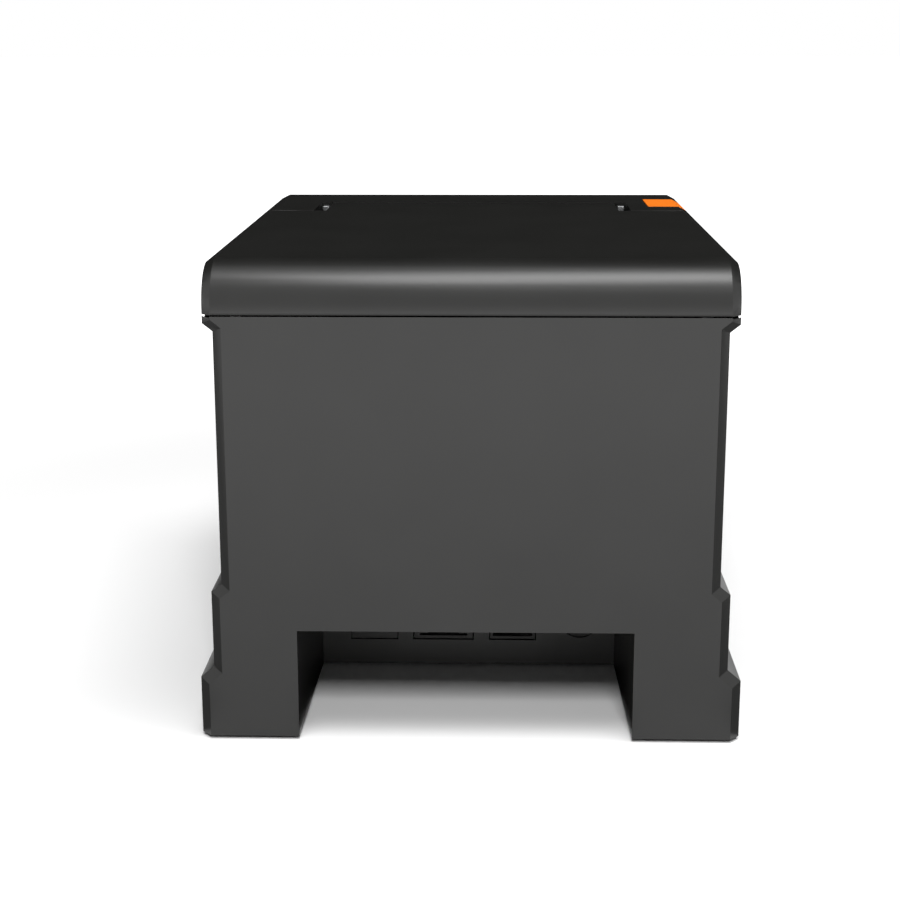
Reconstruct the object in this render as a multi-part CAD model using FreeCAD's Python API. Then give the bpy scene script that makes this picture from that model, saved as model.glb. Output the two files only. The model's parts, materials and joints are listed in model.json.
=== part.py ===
import FreeCAD, Part
import math
import os

# Receipt printer, millimetres, +Z up, origin at the middle of the footprint on the table.
# The front faces -Y. Depths called "back" are measured forward from the rear face.

# Outside of the casing
DEPTH = 180.0
BASE_WIDTH = 145.0
MID_WIDTH = 137.8
WAIST_WIDTH = 132.3
LID_WIDTH = 137.6
HEIGHT = 129.2
FOOT_HEIGHT = 1.0
BASE_STEP_LOW_Z = 16.9
BASE_STEP_HIGH_Z = 20.0
MID_STEP_LOW_Z = 41.1
MID_STEP_HIGH_Z = 43.3
RIM_LOW_DROP = 17.9
RIM_HIGH_DROP = 15.8
SEAM_DROP = 13.7
SEAM_GAP = 0.3
EDGE_CHAMFER = 2.56
TOP_CHAMFER = 1.3
LID_REAR_RADIUS = 12.5
COVER_FRONT_RADIUS = 3.2
WALL = 2.5
FIT_GAP = 0.2
MOVE_GAP = 0.4

# Cable bay and connector panel
BAY_WIDTH = 89.6
BAY_X = 1.2
BAY_DRAFT = 1.25
BAY_HEIGHT = 31.0
BAY_DEPTH = 55.0
PANEL_THICKNESS = 1.5
PANEL_BORDER = 2.0
PORT_GAP = 0.25
PORT_RECESS = 0.3
BLANK_X = 29.3
BLANK_WIDTH = 13.6
LAN_X = 8.7
LAN_WIDTH = 17.6
LAN_RIM = 0.95
LAN_STEP_WIDTH = 9.0
LAN_SLIT_WIDTH = 14.0
LAN_SLIT_HEIGHT = 0.65
LAN_OPENING_RISE = 2.6
USB_X = -12.0
USB_WIDTH = 13.5
USB_RIM = 0.9
USB_TONGUE_WIDTH = 5.6
USB_TONGUE_THICKNESS = 2.5
USB_TONGUE_DROP = 5.0
USB_TONGUE_RECESS = 2.0
POWER_X = -32.0
POWER_RADIUS = 5.8
POWER_RISE = 0.9
POWER_RIM = 1.6
POWER_PIN_CIRCLE = 2.6
POWER_PIN_RADIUS = 0.7
POWER_PIN_RECESS = 5.0
PORT_HEIGHT = 14.0
PORT_DEPTH = 16.0
PORT_END_WALL = 4.0

# Lid, tongue, slot and corner notches
LID_FRONT = 55.5
LID_FRONT_GAP = 0.6
TONGUE_SIDE_GAP = 1.2
TONGUE_FRONT = 31.5
TONGUE_CORNER = 3.0
TONGUE_SKIRT = 1.2
TONGUE_SKIRT_DROP = 6.5
SLOT_WIDTH = 3.5
SLOT_SIDE_GAP = 0.6
NOTCH_GAP = 0.9
NOTCH_FRONT = 30.0

# Lid hinge
PIVOT_BACK = 5.5
PIVOT_DROP = 10.2
LID_HEEL_RADIUS = 6.1
HINGE_PIN_RADIUS = 1.2
HINGE_RING_RADIUS = 2.2
HINGE_ARM_REACH = 11.0
HINGE_ARM_THICKNESS = 3.0
HINGE_FOOT_DROP = 20.0
LUG_WIDTH = 6.0
RUNNING_GAP = 0.06

# Paper bucket
BUCKET_FRONT_GAP = 16.0
ROLL_WIDTH = 83.0
BUCKET_REAR_GAP = 5.5
BUCKET_WALL = 2.0
BUCKET_CLEARANCE = 1.5
BUCKET_TOP_DROP = 17.2
BUCKET_FLANGE_Z = 60.0
BUCKET_FLANGE_THICKNESS = 2.5
BUCKET_FLANGE_LENGTH = 18.0
BUCKET_FLANGE_OFFSET = 25.0
RIB_LENGTH = 8.0
RIB_REACH = 6.0

# Print mechanism
PATH_X = 1.2
PLATEN_FRONT = 40.0
PLATEN_DROP = 16.2
PLATEN_RADIUS = 6.0
PLATEN_LENGTH = 81.0
SHAFT_RADIUS = 2.5
BUSH_RADIUS = 4.0
FRAME_PLATE = 1.5
FRAME_GEAR_GAP = 0.3
FRAME_START_FRONT = 52.0
FRAME_END_FRONT = 33.0
CHEEK_THICKNESS = 2.0
CHASSIS_LENGTH = 54.0
CHASSIS_FRONT = 14.0
CHASSIS_FLOOR_DROP = 63.2
CHEEK_REAR_DROP = 15.7
CHEEK_DROP = 7.7
CHEEK_STEP_FRONT = 53.5
EAR_FRONT = 35.0
EAR_LENGTH = 4.0
EAR_DROP = 0.8
PRESSURE_WALL_FRONT = 23.0
PRESSURE_WALL_WIDTH = 68.0
PRESSURE_WALL_DROP = 13.2

# Gear train from the feed motor to the platen
GEAR_MODULE = 0.8
GEAR_BACKLASH = 0.16
GEAR_WIDTH = 3.0
PLATEN_TEETH = 18
IDLER_TEETH = 20
MOTOR_TEETH = 12
MOTOR_DIRECTION_DEG = -45.0
IDLER_AXLE_RADIUS = 1.5
MOTOR_SIZE = 28.0
MOTOR_LENGTH = 29.0
MOTOR_SHAFT_RADIUS = 1.25
MOTOR_BRACKET_THICKNESS = 1.5
MOTOR_BOSS_RADIUS = 5.0

# Print head
HEAD_GAP = 0.5
HEAD_WIDTH = 80.0
CERAMIC_THICKNESS = 1.0
CERAMIC_BOTTOM_DROP = 24.2
CERAMIC_TOP_DROP = 11.7
HEATSINK_THICKNESS = 3.0
HEAD_TOP_DROP = 11.0
HEAD_PIVOT_DROP = 27.2
HEAD_PIVOT_RADIUS = 1.0
HEAD_BOSS_RADIUS = 2.4
SPRING_RADIUS = 2.5
SPRING_WIRE = 0.6
SPRING_TURNS = 5
HEAD_SPRING_DROP = 17.2
HEAD_SPRING_SPACING = 24.0

# Cutter
CUTTER_FLOOR_DROP = 9.9
CUTTER_FLOOR_THICKNESS = 1.3
CUTTER_LENGTH = 16.0
CUTTER_FRONT = 11.5
BLADE_THICKNESS = 1.0
BLADE_HALF_WIDTH = 34.8
BLADE_LENGTH = 15.0
BLADE_V_DEPTH = 2.0
BLADE_FRONT = 12.0
BLADE_STROKE = 6.0
BLADE_LIFT = 0.4
FIXED_BLADE_FRONT = 32.4
CUTTER_TEETH = 14
CUTTER_SHAFT_FRONT = 21.5
CUTTER_MOTOR_RADIUS = 5.8
CUTTER_MOTOR_LENGTH = 20.0
CUTTER_SHAFT_RADIUS = 1.0

# Lid release
KEY_INNER_X = 56.5
KEY_FRONT = 18.8
KEY_LENGTH = 23.2
KEY_SKIRT = 8.2
KEY_TRAVEL = 3.0
KEY_STEM_WIDTH = 4.0
KEY_STEM_LENGTH = 5.0
KEY_STEM_DROP = 17.2
KEY_STEM_FRONT = 32.0
KEY_LEG_LENGTH = 3.0
KEY_SHELF_DROP = 26.2
KEY_SHELF_THICKNESS = 2.5
LATCH_THICKNESS = 1.6
LATCH_PIVOT_FRONT = 39.0
LATCH_PIVOT_DROP = 31.2
LATCH_PIN_RADIUS = 1.5
LATCH_BOSS_RADIUS = 4.0
LATCH_REACH = 18.5
LATCH_TAB_HEIGHT = 10.0
LATCH_HOOK = 2.0
PIN_HEAD = 1.0

# Boards, controls and base
BOARD_THICKNESS = 1.6
BOARD_Z = 7.2
BOARD_FRONT = 20.1
BOARD_WIDTH = 97.0
PROCESSOR_SIZE = 14.0
PROCESSOR_X = -3.0
PROCESSOR_BACK = 47.0
CHIP_HEIGHT = 1.6
MEMORY_WIDTH = 10.0
MEMORY_LENGTH = 18.0
MEMORY_X = 19.0
HEADER_WIDTH = 44.0
HEADER_LENGTH = 6.0
HEADER_HEIGHT = 5.0
HEADER_X = -4.0
HEADER_INSET = 14.0
CAPACITOR_RADIUS = 5.0
CAPACITOR_HEIGHT = 14.0
CAPACITOR_X = -34.0
CAPACITOR_BACK = 34.0
CAPACITOR_SPACING = 14.0
BUZZER_HEIGHT = 8.0
BUZZER_HOLE_RADIUS = 1.0
BUZZER_HOLE_DEPTH = 3.0
PLATE_THICKNESS = 2.0
STANDOFF_RADIUS = 3.0
SCREW_RADIUS = 1.5
SCREW_HEAD_RADIUS = 2.8
SCREW_HEAD_HEIGHT = 1.2
BOSS_RADIUS = 5.0
BOSS_HEIGHT = 12.0
BOSS_BACK = 9.0
FOOT_WIDTH = 5.0
FOOT_LENGTH = 13.0
FOOT_INSET_X = 1.2
FOOT_INSET_Y = 4.0
CONTROL_DROP = 29.2
CONTROL_HEIGHT = 20.0
CONTROL_WIDTH = 56.0
CONTROL_BOARD_GAP = 4.5
CONTROL_POST_INSET = 4.0
CONTROL_POST_RADIUS = 2.5
CONTROL_SWITCH_SIZE = 6.0
BUTTON_RADIUS = 4.5
BUTTON_X = -12.0
BUTTON_FLANGE = 1.2
BUTTON_TRAVEL = 1.0
LIGHT_RADIUS = 1.5
LIGHT_SPACING = 7.0
SWITCH_X = -38.0
SWITCH_Z = 26.0
SWITCH_WIDTH = 15.0
SWITCH_HEIGHT = 19.0
SWITCH_DEPTH = 14.0
SWITCH_WALL = 1.2
SWITCH_FLANGE = 1.5
SWITCH_FLOOR = 2.0
ROCKER_PIN_RADIUS = 1.0
ROCKER_PIN_SEAT = 0.5
ROCKER_DIP = 0.8
ROCKER_DEPTH = 7.0
ROCKER_TILT_ROOM = 1.4
LEVER_Z = 62.0
LEVER_DROP = 14.0
LEVER_LENGTH = 12.0
LEVER_THICKNESS = 2.0
LEVER_NOSE = 2.0
LEVER_PIN_RADIUS = 1.0
LEVER_BARREL_RADIUS = 2.4
POST_RADIUS = 4.0
POST_INSET = 8.0

# Values worked out from the sizes above
SEAM_Z = HEIGHT - SEAM_DROP
RIM_LOW_Z = HEIGHT - RIM_LOW_DROP
RIM_HIGH_Z = HEIGHT - RIM_HIGH_DROP
LID_BOTTOM_Z = SEAM_Z + SEAM_GAP
ROOF_Z = HEIGHT - WALL
PIVOT_Z = HEIGHT - PIVOT_DROP
LID_LENGTH = DEPTH - LID_FRONT
TONGUE_END = DEPTH - TONGUE_FRONT
NOTCH_END = DEPTH - NOTCH_FRONT
SLOT_FRONT = TONGUE_END + SLOT_WIDTH
COVER_BACK = LID_LENGTH + LID_FRONT_GAP
FRONT_INNER = DEPTH - WALL
WAIST_INNER = WAIST_WIDTH / 2 - WALL
BASE_INNER = BASE_WIDTH / 2 - WALL
PLATE_TOP_Z = FOOT_HEIGHT + PLATE_THICKNESS
PANEL_BACK = BAY_DEPTH + PANEL_THICKNESS
BOARD_TOP_Z = BOARD_Z + BOARD_THICKNESS
BOARD_BACK = PANEL_BACK + MOVE_GAP
BOARD_LENGTH = DEPTH - BOARD_FRONT - BOARD_BACK
CHASSIS_END = DEPTH - CHASSIS_FRONT
CHASSIS_START = CHASSIS_END - CHASSIS_LENGTH
CHASSIS_FLOOR_Z = HEIGHT - CHASSIS_FLOOR_DROP
FLOOR_TOP_Z = CHASSIS_FLOOR_Z + CHEEK_THICKNESS
CHEEK_REAR_TOP_Z = HEIGHT - CHEEK_REAR_DROP
CHEEK_TOP_Z = HEIGHT - CHEEK_DROP
CHEEK_STEP_BACK = DEPTH - CHEEK_STEP_FRONT
EAR_BACK = DEPTH - EAR_FRONT
EAR_TOP_Z = HEIGHT - EAR_DROP
PRESSURE_WALL_BACK = DEPTH - PRESSURE_WALL_FRONT
PRESSURE_WALL_TOP_Z = HEIGHT - PRESSURE_WALL_DROP
BUCKET_TOP_Z = HEIGHT - BUCKET_TOP_DROP
BUCKET_RADIUS = (CHASSIS_START - BUCKET_FRONT_GAP - WALL - BUCKET_REAR_GAP) / 2
ROLL_RADIUS = BUCKET_RADIUS - BUCKET_WALL
ROLL_BACK = WALL + BUCKET_REAR_GAP + BUCKET_RADIUS
ROLL_Z = BAY_HEIGHT + WALL + BUCKET_CLEARANCE + BUCKET_RADIUS
BUCKET_IN = ROLL_WIDTH / 2
BUCKET_OUT = BUCKET_IN + BUCKET_WALL
PLATEN_BACK = DEPTH - PLATEN_FRONT
PLATEN_Z = HEIGHT - PLATEN_DROP
FRAME_BACK_START = DEPTH - FRAME_START_FRONT
FRAME_BACK_END = DEPTH - FRAME_END_FRONT
GEAR_X = PLATEN_LENGTH / 2 + MOVE_GAP
FRAME_IN = GEAR_X + GEAR_WIDTH + FRAME_GEAR_GAP
FRAME_OUT = FRAME_IN + FRAME_PLATE
TONGUE_HALF = FRAME_OUT + FIT_GAP / 2 + TONGUE_SKIRT
CHEEK_IN = TONGUE_HALF + TONGUE_SIDE_GAP
CHEEK_OUT = CHEEK_IN + CHEEK_THICKNESS
NOTCH_HALF = CHEEK_OUT + NOTCH_GAP
CERAMIC_BOTTOM_Z = HEIGHT - CERAMIC_BOTTOM_DROP
CERAMIC_TOP_Z = HEIGHT - CERAMIC_TOP_DROP
CERAMIC_BACK = PLATEN_BACK + PLATEN_RADIUS + HEAD_GAP
HEATSINK_BACK = CERAMIC_BACK + CERAMIC_THICKNESS
HEATSINK_FRONT = HEATSINK_BACK + HEATSINK_THICKNESS
HEAD_TOP_Z = HEIGHT - HEAD_TOP_DROP
HEAD_PIVOT_BACK = HEATSINK_FRONT - HEAD_PIVOT_RADIUS / 2
HEAD_PIVOT_Z = HEIGHT - HEAD_PIVOT_DROP
HEAD_SPRING_Z = HEIGHT - HEAD_SPRING_DROP
PLATEN_PITCH = GEAR_MODULE * PLATEN_TEETH / 2
IDLER_PITCH = GEAR_MODULE * IDLER_TEETH / 2
MOTOR_PITCH = GEAR_MODULE * MOTOR_TEETH / 2
CUTTER_PITCH = GEAR_MODULE * CUTTER_TEETH / 2
IDLER_Z = PLATEN_Z - PLATEN_PITCH - IDLER_PITCH
MOTOR_ANGLE = math.radians(MOTOR_DIRECTION_DEG)
MOTOR_REACH = IDLER_PITCH + MOTOR_PITCH
MOTOR_BACK = PLATEN_BACK - MOTOR_REACH * math.cos(MOTOR_ANGLE)
MOTOR_Z = IDLER_Z + MOTOR_REACH * math.sin(MOTOR_ANGLE)
MOTOR_FACE_X = GEAR_X - MOVE_GAP - MOTOR_BRACKET_THICKNESS
CUTTER_FLOOR_Z = HEIGHT - CUTTER_FLOOR_DROP
CUTTER_END = DEPTH - CUTTER_FRONT
CUTTER_START = CUTTER_END - CUTTER_LENGTH
CUTTER_BACK = DEPTH - CUTTER_SHAFT_FRONT
BLADE_END = DEPTH - BLADE_FRONT
BLADE_START = BLADE_END - BLADE_LENGTH
FIXED_BLADE_END = DEPTH - FIXED_BLADE_FRONT
BLADE_Z = CUTTER_FLOOR_Z + CUTTER_FLOOR_THICKNESS + BLADE_LIFT
FIXED_BLADE_Z = BLADE_Z + BLADE_THICKNESS + MOVE_GAP
RACK_X = BLADE_HALF_WIDTH + 1.25 * GEAR_MODULE
CUTTER_X = RACK_X + CUTTER_PITCH
KEY_START = DEPTH - KEY_FRONT - KEY_LENGTH
KEY_STEM_BACK = DEPTH - KEY_STEM_FRONT
KEY_STEM_BOTTOM_Z = HEIGHT - KEY_STEM_DROP
KEY_STEM_X = (KEY_INNER_X + WAIST_INNER) / 2
KEY_SHELF_Z = HEIGHT - KEY_SHELF_DROP
LATCH_IN = CHEEK_OUT + 2 * MOVE_GAP
LATCH_OUT = LATCH_IN + LATCH_THICKNESS
LATCH_PIVOT_BACK = DEPTH - LATCH_PIVOT_FRONT
LATCH_PIVOT_Z = HEIGHT - LATCH_PIVOT_DROP
KEY_LEG_BACK = LATCH_PIVOT_BACK + LATCH_REACH - KEY_LEG_LENGTH / 2
CONTROL_Z = HEIGHT - CONTROL_DROP
CONTROL_BACK = FRONT_INNER - CONTROL_BOARD_GAP - BOARD_THICKNESS


def across(back):
    """Y of a place given by its distance ahead of the rear face."""
    return DEPTH / 2 - back


def block(x0, x1, back0, back1, z0, z1):
    """Box between two X, two depths and two heights."""
    corner = FreeCAD.Vector(x0, across(back1), z0)
    return Part.makeBox(x1 - x0, back1 - back0, z1 - z0, corner)


def rod_x(radius, x0, x1, back, z):
    """Round bar along X."""
    start = FreeCAD.Vector(x0, across(back), z)
    return Part.makeCylinder(radius, x1 - x0, start, FreeCAD.Vector(1, 0, 0))


def rod_y(radius, x, back0, back1, z):
    """Round bar along Y."""
    start = FreeCAD.Vector(x, across(back1), z)
    return Part.makeCylinder(radius, back1 - back0, start, FreeCAD.Vector(0, 1, 0))


def rod_z(radius, x, back, z0, z1):
    """Round bar along Z."""
    start = FreeCAD.Vector(x, across(back), z0)
    return Part.makeCylinder(radius, z1 - z0, start, FreeCAD.Vector(0, 0, 1))


def joined(first, *others):
    """One solid from touching solids."""
    return first.fuse(list(others)).removeSplitter()


def less(solid, *tools):
    """A solid with others taken out of it."""
    return solid.cut(list(tools)).removeSplitter()


def mirrored(solid):
    """The same solid on the other side of the middle plane."""
    return solid.mirror(FreeCAD.Vector(0, 0, 0), FreeCAD.Vector(1, 0, 0))


def both_sides(solid):
    """A solid and its mirror image as one group."""
    return Part.makeCompound([solid, mirrored(solid)])


def plate_x(points, x0, x1):
    """Flat plate between two X, outlined by (back, z) points."""
    corners = [FreeCAD.Vector(x0, across(back), z) for back, z in points]
    face = Part.Face(Part.makePolygon(corners + corners[:1]))
    return face.extrude(FreeCAD.Vector(x1 - x0, 0, 0))


def plate_z(points, z0, z1):
    """Flat plate between two heights, outlined by (x, back) points."""
    corners = [FreeCAD.Vector(x, across(back), z0) for x, back in points]
    face = Part.Face(Part.makePolygon(corners + corners[:1]))
    return face.extrude(FreeCAD.Vector(0, 0, z1 - z0))


def save(name, shape):
    """Write one sub-part."""
    shape.exportStep("parts/" + name + ".step")


def inset_line(points, distance):
    """Open outline of (x, z) points moved inwards, with its first and last heights kept."""
    lines = []
    for (x0, z0), (x1, z1) in zip(points, points[1:]):
        length = math.hypot(x1 - x0, z1 - z0)
        normal = (-(z1 - z0) / length, (x1 - x0) / length)
        lines.append((x0 + normal[0] * distance, z0 + normal[1] * distance, x1 - x0, z1 - z0))
    moved = [(lines[0][0], points[0][1])]
    for (xa, za, ua, wa), (xb, zb, ub, wb) in zip(lines, lines[1:]):
        share = ((xb - xa) * wb - (zb - za) * ub) / (ua * wb - wa * ub)
        moved.append((xa + share * ua, za + share * wa))
    moved.append((lines[-1][0], points[-1][1]))
    return moved


def case_side():
    """Right-hand outline of the stepped case, from the bottom up."""
    return [
        (BASE_WIDTH / 2, FOOT_HEIGHT),
        (BASE_WIDTH / 2, BASE_STEP_LOW_Z),
        (MID_WIDTH / 2, BASE_STEP_HIGH_Z),
        (MID_WIDTH / 2, MID_STEP_LOW_Z),
        (WAIST_WIDTH / 2, MID_STEP_HIGH_Z),
        (WAIST_WIDTH / 2, RIM_LOW_Z),
        (LID_WIDTH / 2, RIM_HIGH_Z),
        (LID_WIDTH / 2, SEAM_Z),
    ]


def case_section(side, back):
    """Closed outline of the case at one depth."""
    y = across(back)
    right = [FreeCAD.Vector(x, y, z) for x, z in side]
    left = [FreeCAD.Vector(-x, y, z) for x, z in reversed(side)]
    return Part.makePolygon(right + left + right[:1])


def case_outside():
    """Outer solid of the lower case, with chamfered upright edges."""
    full = case_side()
    narrow = inset_line(full, EDGE_CHAMFER)
    sections = [
        case_section(narrow, 0),
        case_section(full, EDGE_CHAMFER),
        case_section(full, DEPTH - EDGE_CHAMFER),
        case_section(narrow, DEPTH),
    ]
    return Part.makeLoft(sections, True, True)


def case_hollow():
    """Space inside the lower case, open at the top and the bottom."""
    side = inset_line(case_side(), WALL)
    side = [(side[0][0], 0.0)] + side[1:-1] + [(side[-1][0], HEIGHT)]
    face = Part.Face(case_section(side, FRONT_INNER))
    return face.extrude(FreeCAD.Vector(0, FRONT_INNER - WALL, 0))


def heel_inset():
    """How far the lid's lower rear edge is drawn in to swing clear of the case."""
    return PIVOT_BACK - math.sqrt(LID_HEEL_RADIUS ** 2 - (PIVOT_Z - LID_BOTTOM_Z) ** 2)


def lid_heel():
    """Corner under the hinge that is taken off the lid so that it swings clear of the case."""
    corner = block(-BASE_WIDTH, BASE_WIDTH, -WALL, PIVOT_BACK, LID_BOTTOM_Z - WALL, PIVOT_Z)
    return less(corner, rod_x(LID_HEEL_RADIUS, -BASE_WIDTH, BASE_WIDTH, PIVOT_BACK, PIVOT_Z))


def lid_sweep():
    """Room that the lid's rear edge and its chamfered corners sweep round the hinge."""
    reach = LID_HEEL_RADIUS + SEAM_GAP
    corner = math.hypot(PIVOT_BACK - EDGE_CHAMFER, PIVOT_Z - LID_BOTTOM_Z) + SEAM_GAP
    inner = LID_WIDTH / 2 - EDGE_CHAMFER + heel_inset()
    start = FreeCAD.Vector(inner, across(PIVOT_BACK), PIVOT_Z)
    cone = Part.makeCone(reach, corner, LID_WIDTH / 2 - inner, start, FreeCAD.Vector(1, 0, 0))
    end = rod_x(corner, LID_WIDTH / 2, BASE_WIDTH, PIVOT_BACK, PIVOT_Z)
    side = joined(cone, end)
    return joined(rod_x(reach, -inner, inner, PIVOT_BACK, PIVOT_Z), side, mirrored(side))


def bay_plan(start, end, grow):
    """Plan of the tapering cable bay between two depths as (x, back) points, grown by a wall."""
    wide = BAY_WIDTH / 2 - BAY_DRAFT * start / BAY_DEPTH + grow
    narrow = BAY_WIDTH / 2 - BAY_DRAFT * end / BAY_DEPTH + grow
    return [(BAY_X - wide, start), (BAY_X + wide, start), (BAY_X + narrow, end), (BAY_X - narrow, end)]


def boss_places():
    """Places of the four base screws as (x, back)."""
    x = BASE_INNER - BOSS_RADIUS + 1.0
    return [(sign * x, back) for sign in (1, -1) for back in (BOSS_BACK, DEPTH - BOSS_BACK)]


def rib_places():
    """Depths of the ribs that carry the bucket's flanges."""
    return [ROLL_BACK - BUCKET_FLANGE_OFFSET, ROLL_BACK + BUCKET_FLANGE_OFFSET]


def control_places():
    """X of the three light pipes beside the feed button."""
    return [BUTTON_X + 2 * LIGHT_SPACING + index * LIGHT_SPACING for index in range(3)]


def lower_case():
    """Stepped lower shell with its cable bay, ribs, bosses and front openings."""
    shell = less(case_outside(), case_hollow())
    added = [plate_z(bay_plan(WALL / 2, BAY_DEPTH, WALL), FOOT_HEIGHT, BAY_HEIGHT + WALL)]
    wall_x = MID_WIDTH / 2 - WALL / 2
    for back in rib_places():
        rib = block(WAIST_INNER - RIB_REACH, wall_x, back - RIB_LENGTH / 2, back + RIB_LENGTH / 2,
                    BASE_STEP_HIGH_Z, MID_STEP_LOW_Z)
        post = block(WAIST_INNER - RIB_REACH, WAIST_INNER + WALL / 2, back - RIB_LENGTH / 2,
                     back + RIB_LENGTH / 2, MID_STEP_LOW_Z - 1.0, BUCKET_FLANGE_Z)
        added += [rib, mirrored(rib), post, mirrored(post)]
    for x, back in boss_places():
        added.append(rod_z(BOSS_RADIUS, x, back, PLATE_TOP_Z, PLATE_TOP_Z + BOSS_HEIGHT))
    shelf = block(-WAIST_INNER - WALL / 2, -KEY_INNER_X, KEY_STEM_BACK - KEY_STEM_LENGTH,
                  KEY_STEM_BACK + KEY_STEM_LENGTH, KEY_SHELF_Z - KEY_SHELF_THICKNESS, KEY_SHELF_Z)
    added.append(shelf)
    shell = joined(shell, *added)
    cuts = [plate_z(bay_plan(-WALL, BAY_DEPTH + WALL, 0.0), 0.0, BAY_HEIGHT), lid_sweep()]
    for x, back in boss_places():
        cuts.append(rod_z(SCREW_RADIUS, x, back, 0.0, PLATE_TOP_Z + BOSS_HEIGHT - 2.0))
    cuts.append(rod_y(BUTTON_RADIUS + MOVE_GAP, BUTTON_X, FRONT_INNER - 1, DEPTH + 1, CONTROL_Z))
    for x in control_places():
        cuts.append(rod_y(LIGHT_RADIUS + FIT_GAP, x, FRONT_INNER - 1, DEPTH + 1, CONTROL_Z))
    half = SWITCH_WIDTH / 2 + FIT_GAP
    tall = SWITCH_HEIGHT / 2 + FIT_GAP
    cuts.append(block(SWITCH_X - half, SWITCH_X + half, FRONT_INNER - 1, DEPTH + 1,
                      SWITCH_Z - tall, SWITCH_Z + tall))
    return less(shell, *cuts)


def bottom_plate():
    """Base plate with standoffs for the board and counterbored screw holes."""
    half = BASE_INNER - FIT_GAP
    start = WALL + FIT_GAP
    plate = block(-half, half, start, FRONT_INNER - FIT_GAP, FOOT_HEIGHT, PLATE_TOP_Z)
    bay_half = BAY_WIDTH / 2 + WALL + FIT_GAP
    bay = block(BAY_X - bay_half, BAY_X + bay_half, 0, PANEL_BACK + FIT_GAP, 0.0, PLATE_TOP_Z + 1)
    plate = less(plate, bay)
    standoffs = [rod_z(STANDOFF_RADIUS, x, back, PLATE_TOP_Z, BOARD_Z) for x, back in board_holes()]
    posts = [rod_z(POST_RADIUS, x + PATH_X, back, PLATE_TOP_Z, CHASSIS_FLOOR_Z) for x, back in post_places()]
    cuts = [rod_z(SCREW_RADIUS, x, back, PLATE_TOP_Z - 1, BOARD_Z) for x, back in board_holes()]
    for x, back in post_places():
        cuts.append(rod_z(SCREW_RADIUS, x + PATH_X, back, CHASSIS_FLOOR_Z - BOSS_HEIGHT, CHASSIS_FLOOR_Z))
    for x, back in boss_places():
        cuts.append(rod_z(SCREW_RADIUS + FIT_GAP, x, back, 0.0, PLATE_TOP_Z))
        cuts.append(rod_z(SCREW_HEAD_RADIUS + FIT_GAP, x, back, 0.0, FOOT_HEIGHT + SCREW_HEAD_HEIGHT))
    return less(joined(plate, *(standoffs + posts)), *cuts)


def board_holes():
    """Places of the main board's screws as (x, back)."""
    inset = 2 * STANDOFF_RADIUS
    x = BOARD_WIDTH / 2 - inset
    return [(sign * x, back) for sign in (1, -1)
            for back in (BOARD_BACK + inset, BOARD_BACK + BOARD_LENGTH - inset)]


def post_places():
    """Places of the print mechanism's tall posts as (x, back), with x from the middle of the paper path."""
    x = CHEEK_OUT + POST_RADIUS + FIT_GAP
    return [(sign * x, back) for sign in (1, -1)
            for back in (CHASSIS_START + POST_INSET, CHASSIS_END - POST_INSET)]


def screw(x, back, z, length, downwards):
    """Pan-head screw whose head seats at z, with a shank of the given length."""
    if downwards:
        head = rod_z(SCREW_HEAD_RADIUS, x, back, z, z + SCREW_HEAD_HEIGHT)
        shank = rod_z(SCREW_RADIUS, x, back, z - length, z)
        slot = block(x - SCREW_HEAD_RADIUS, x + SCREW_HEAD_RADIUS, back - 0.4, back + 0.4,
                     z + SCREW_HEAD_HEIGHT / 2, z + SCREW_HEAD_HEIGHT + 1)
    else:
        head = rod_z(SCREW_HEAD_RADIUS, x, back, z - SCREW_HEAD_HEIGHT, z)
        shank = rod_z(SCREW_RADIUS, x, back, z, z + length)
        slot = block(x - SCREW_HEAD_RADIUS, x + SCREW_HEAD_RADIUS, back - 0.4, back + 0.4,
                     z - SCREW_HEAD_HEIGHT - 1, z - SCREW_HEAD_HEIGHT / 2)
    return less(joined(head, shank), slot)


def base_screws():
    """Four screws that hold the bottom plate."""
    seat = FOOT_HEIGHT + SCREW_HEAD_HEIGHT
    return Part.makeCompound([screw(x, back, seat, BOSS_HEIGHT - 2, False) for x, back in boss_places()])


def board_screws():
    """Four screws that hold the main board."""
    return Part.makeCompound([screw(x, back, BOARD_TOP_Z, BOARD_TOP_Z - PLATE_TOP_Z, True)
                              for x, back in board_holes()])


def chassis_screws():
    """Four screws that hold the print mechanism on its posts."""
    return Part.makeCompound([screw(x, back, FLOOR_TOP_Z, BOSS_HEIGHT - 1, True)
                              for x, back in post_places()])


def rubber_feet():
    """Four pads under the corners of the case."""
    outer = BASE_WIDTH / 2 - FOOT_INSET_X
    feet = []
    for back in (FOOT_INSET_Y, DEPTH - FOOT_INSET_Y - FOOT_LENGTH):
        pad = block(outer - FOOT_WIDTH, outer, back, back + FOOT_LENGTH, 0.0, FOOT_HEIGHT)
        upright = [edge for edge in pad.Edges if abs(edge.BoundBox.ZLength - FOOT_HEIGHT) < 1e-6]
        pad = pad.makeFillet(FOOT_WIDTH / 3, upright)
        feet += [pad, mirrored(pad)]
    return Part.makeCompound(feet)


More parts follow.
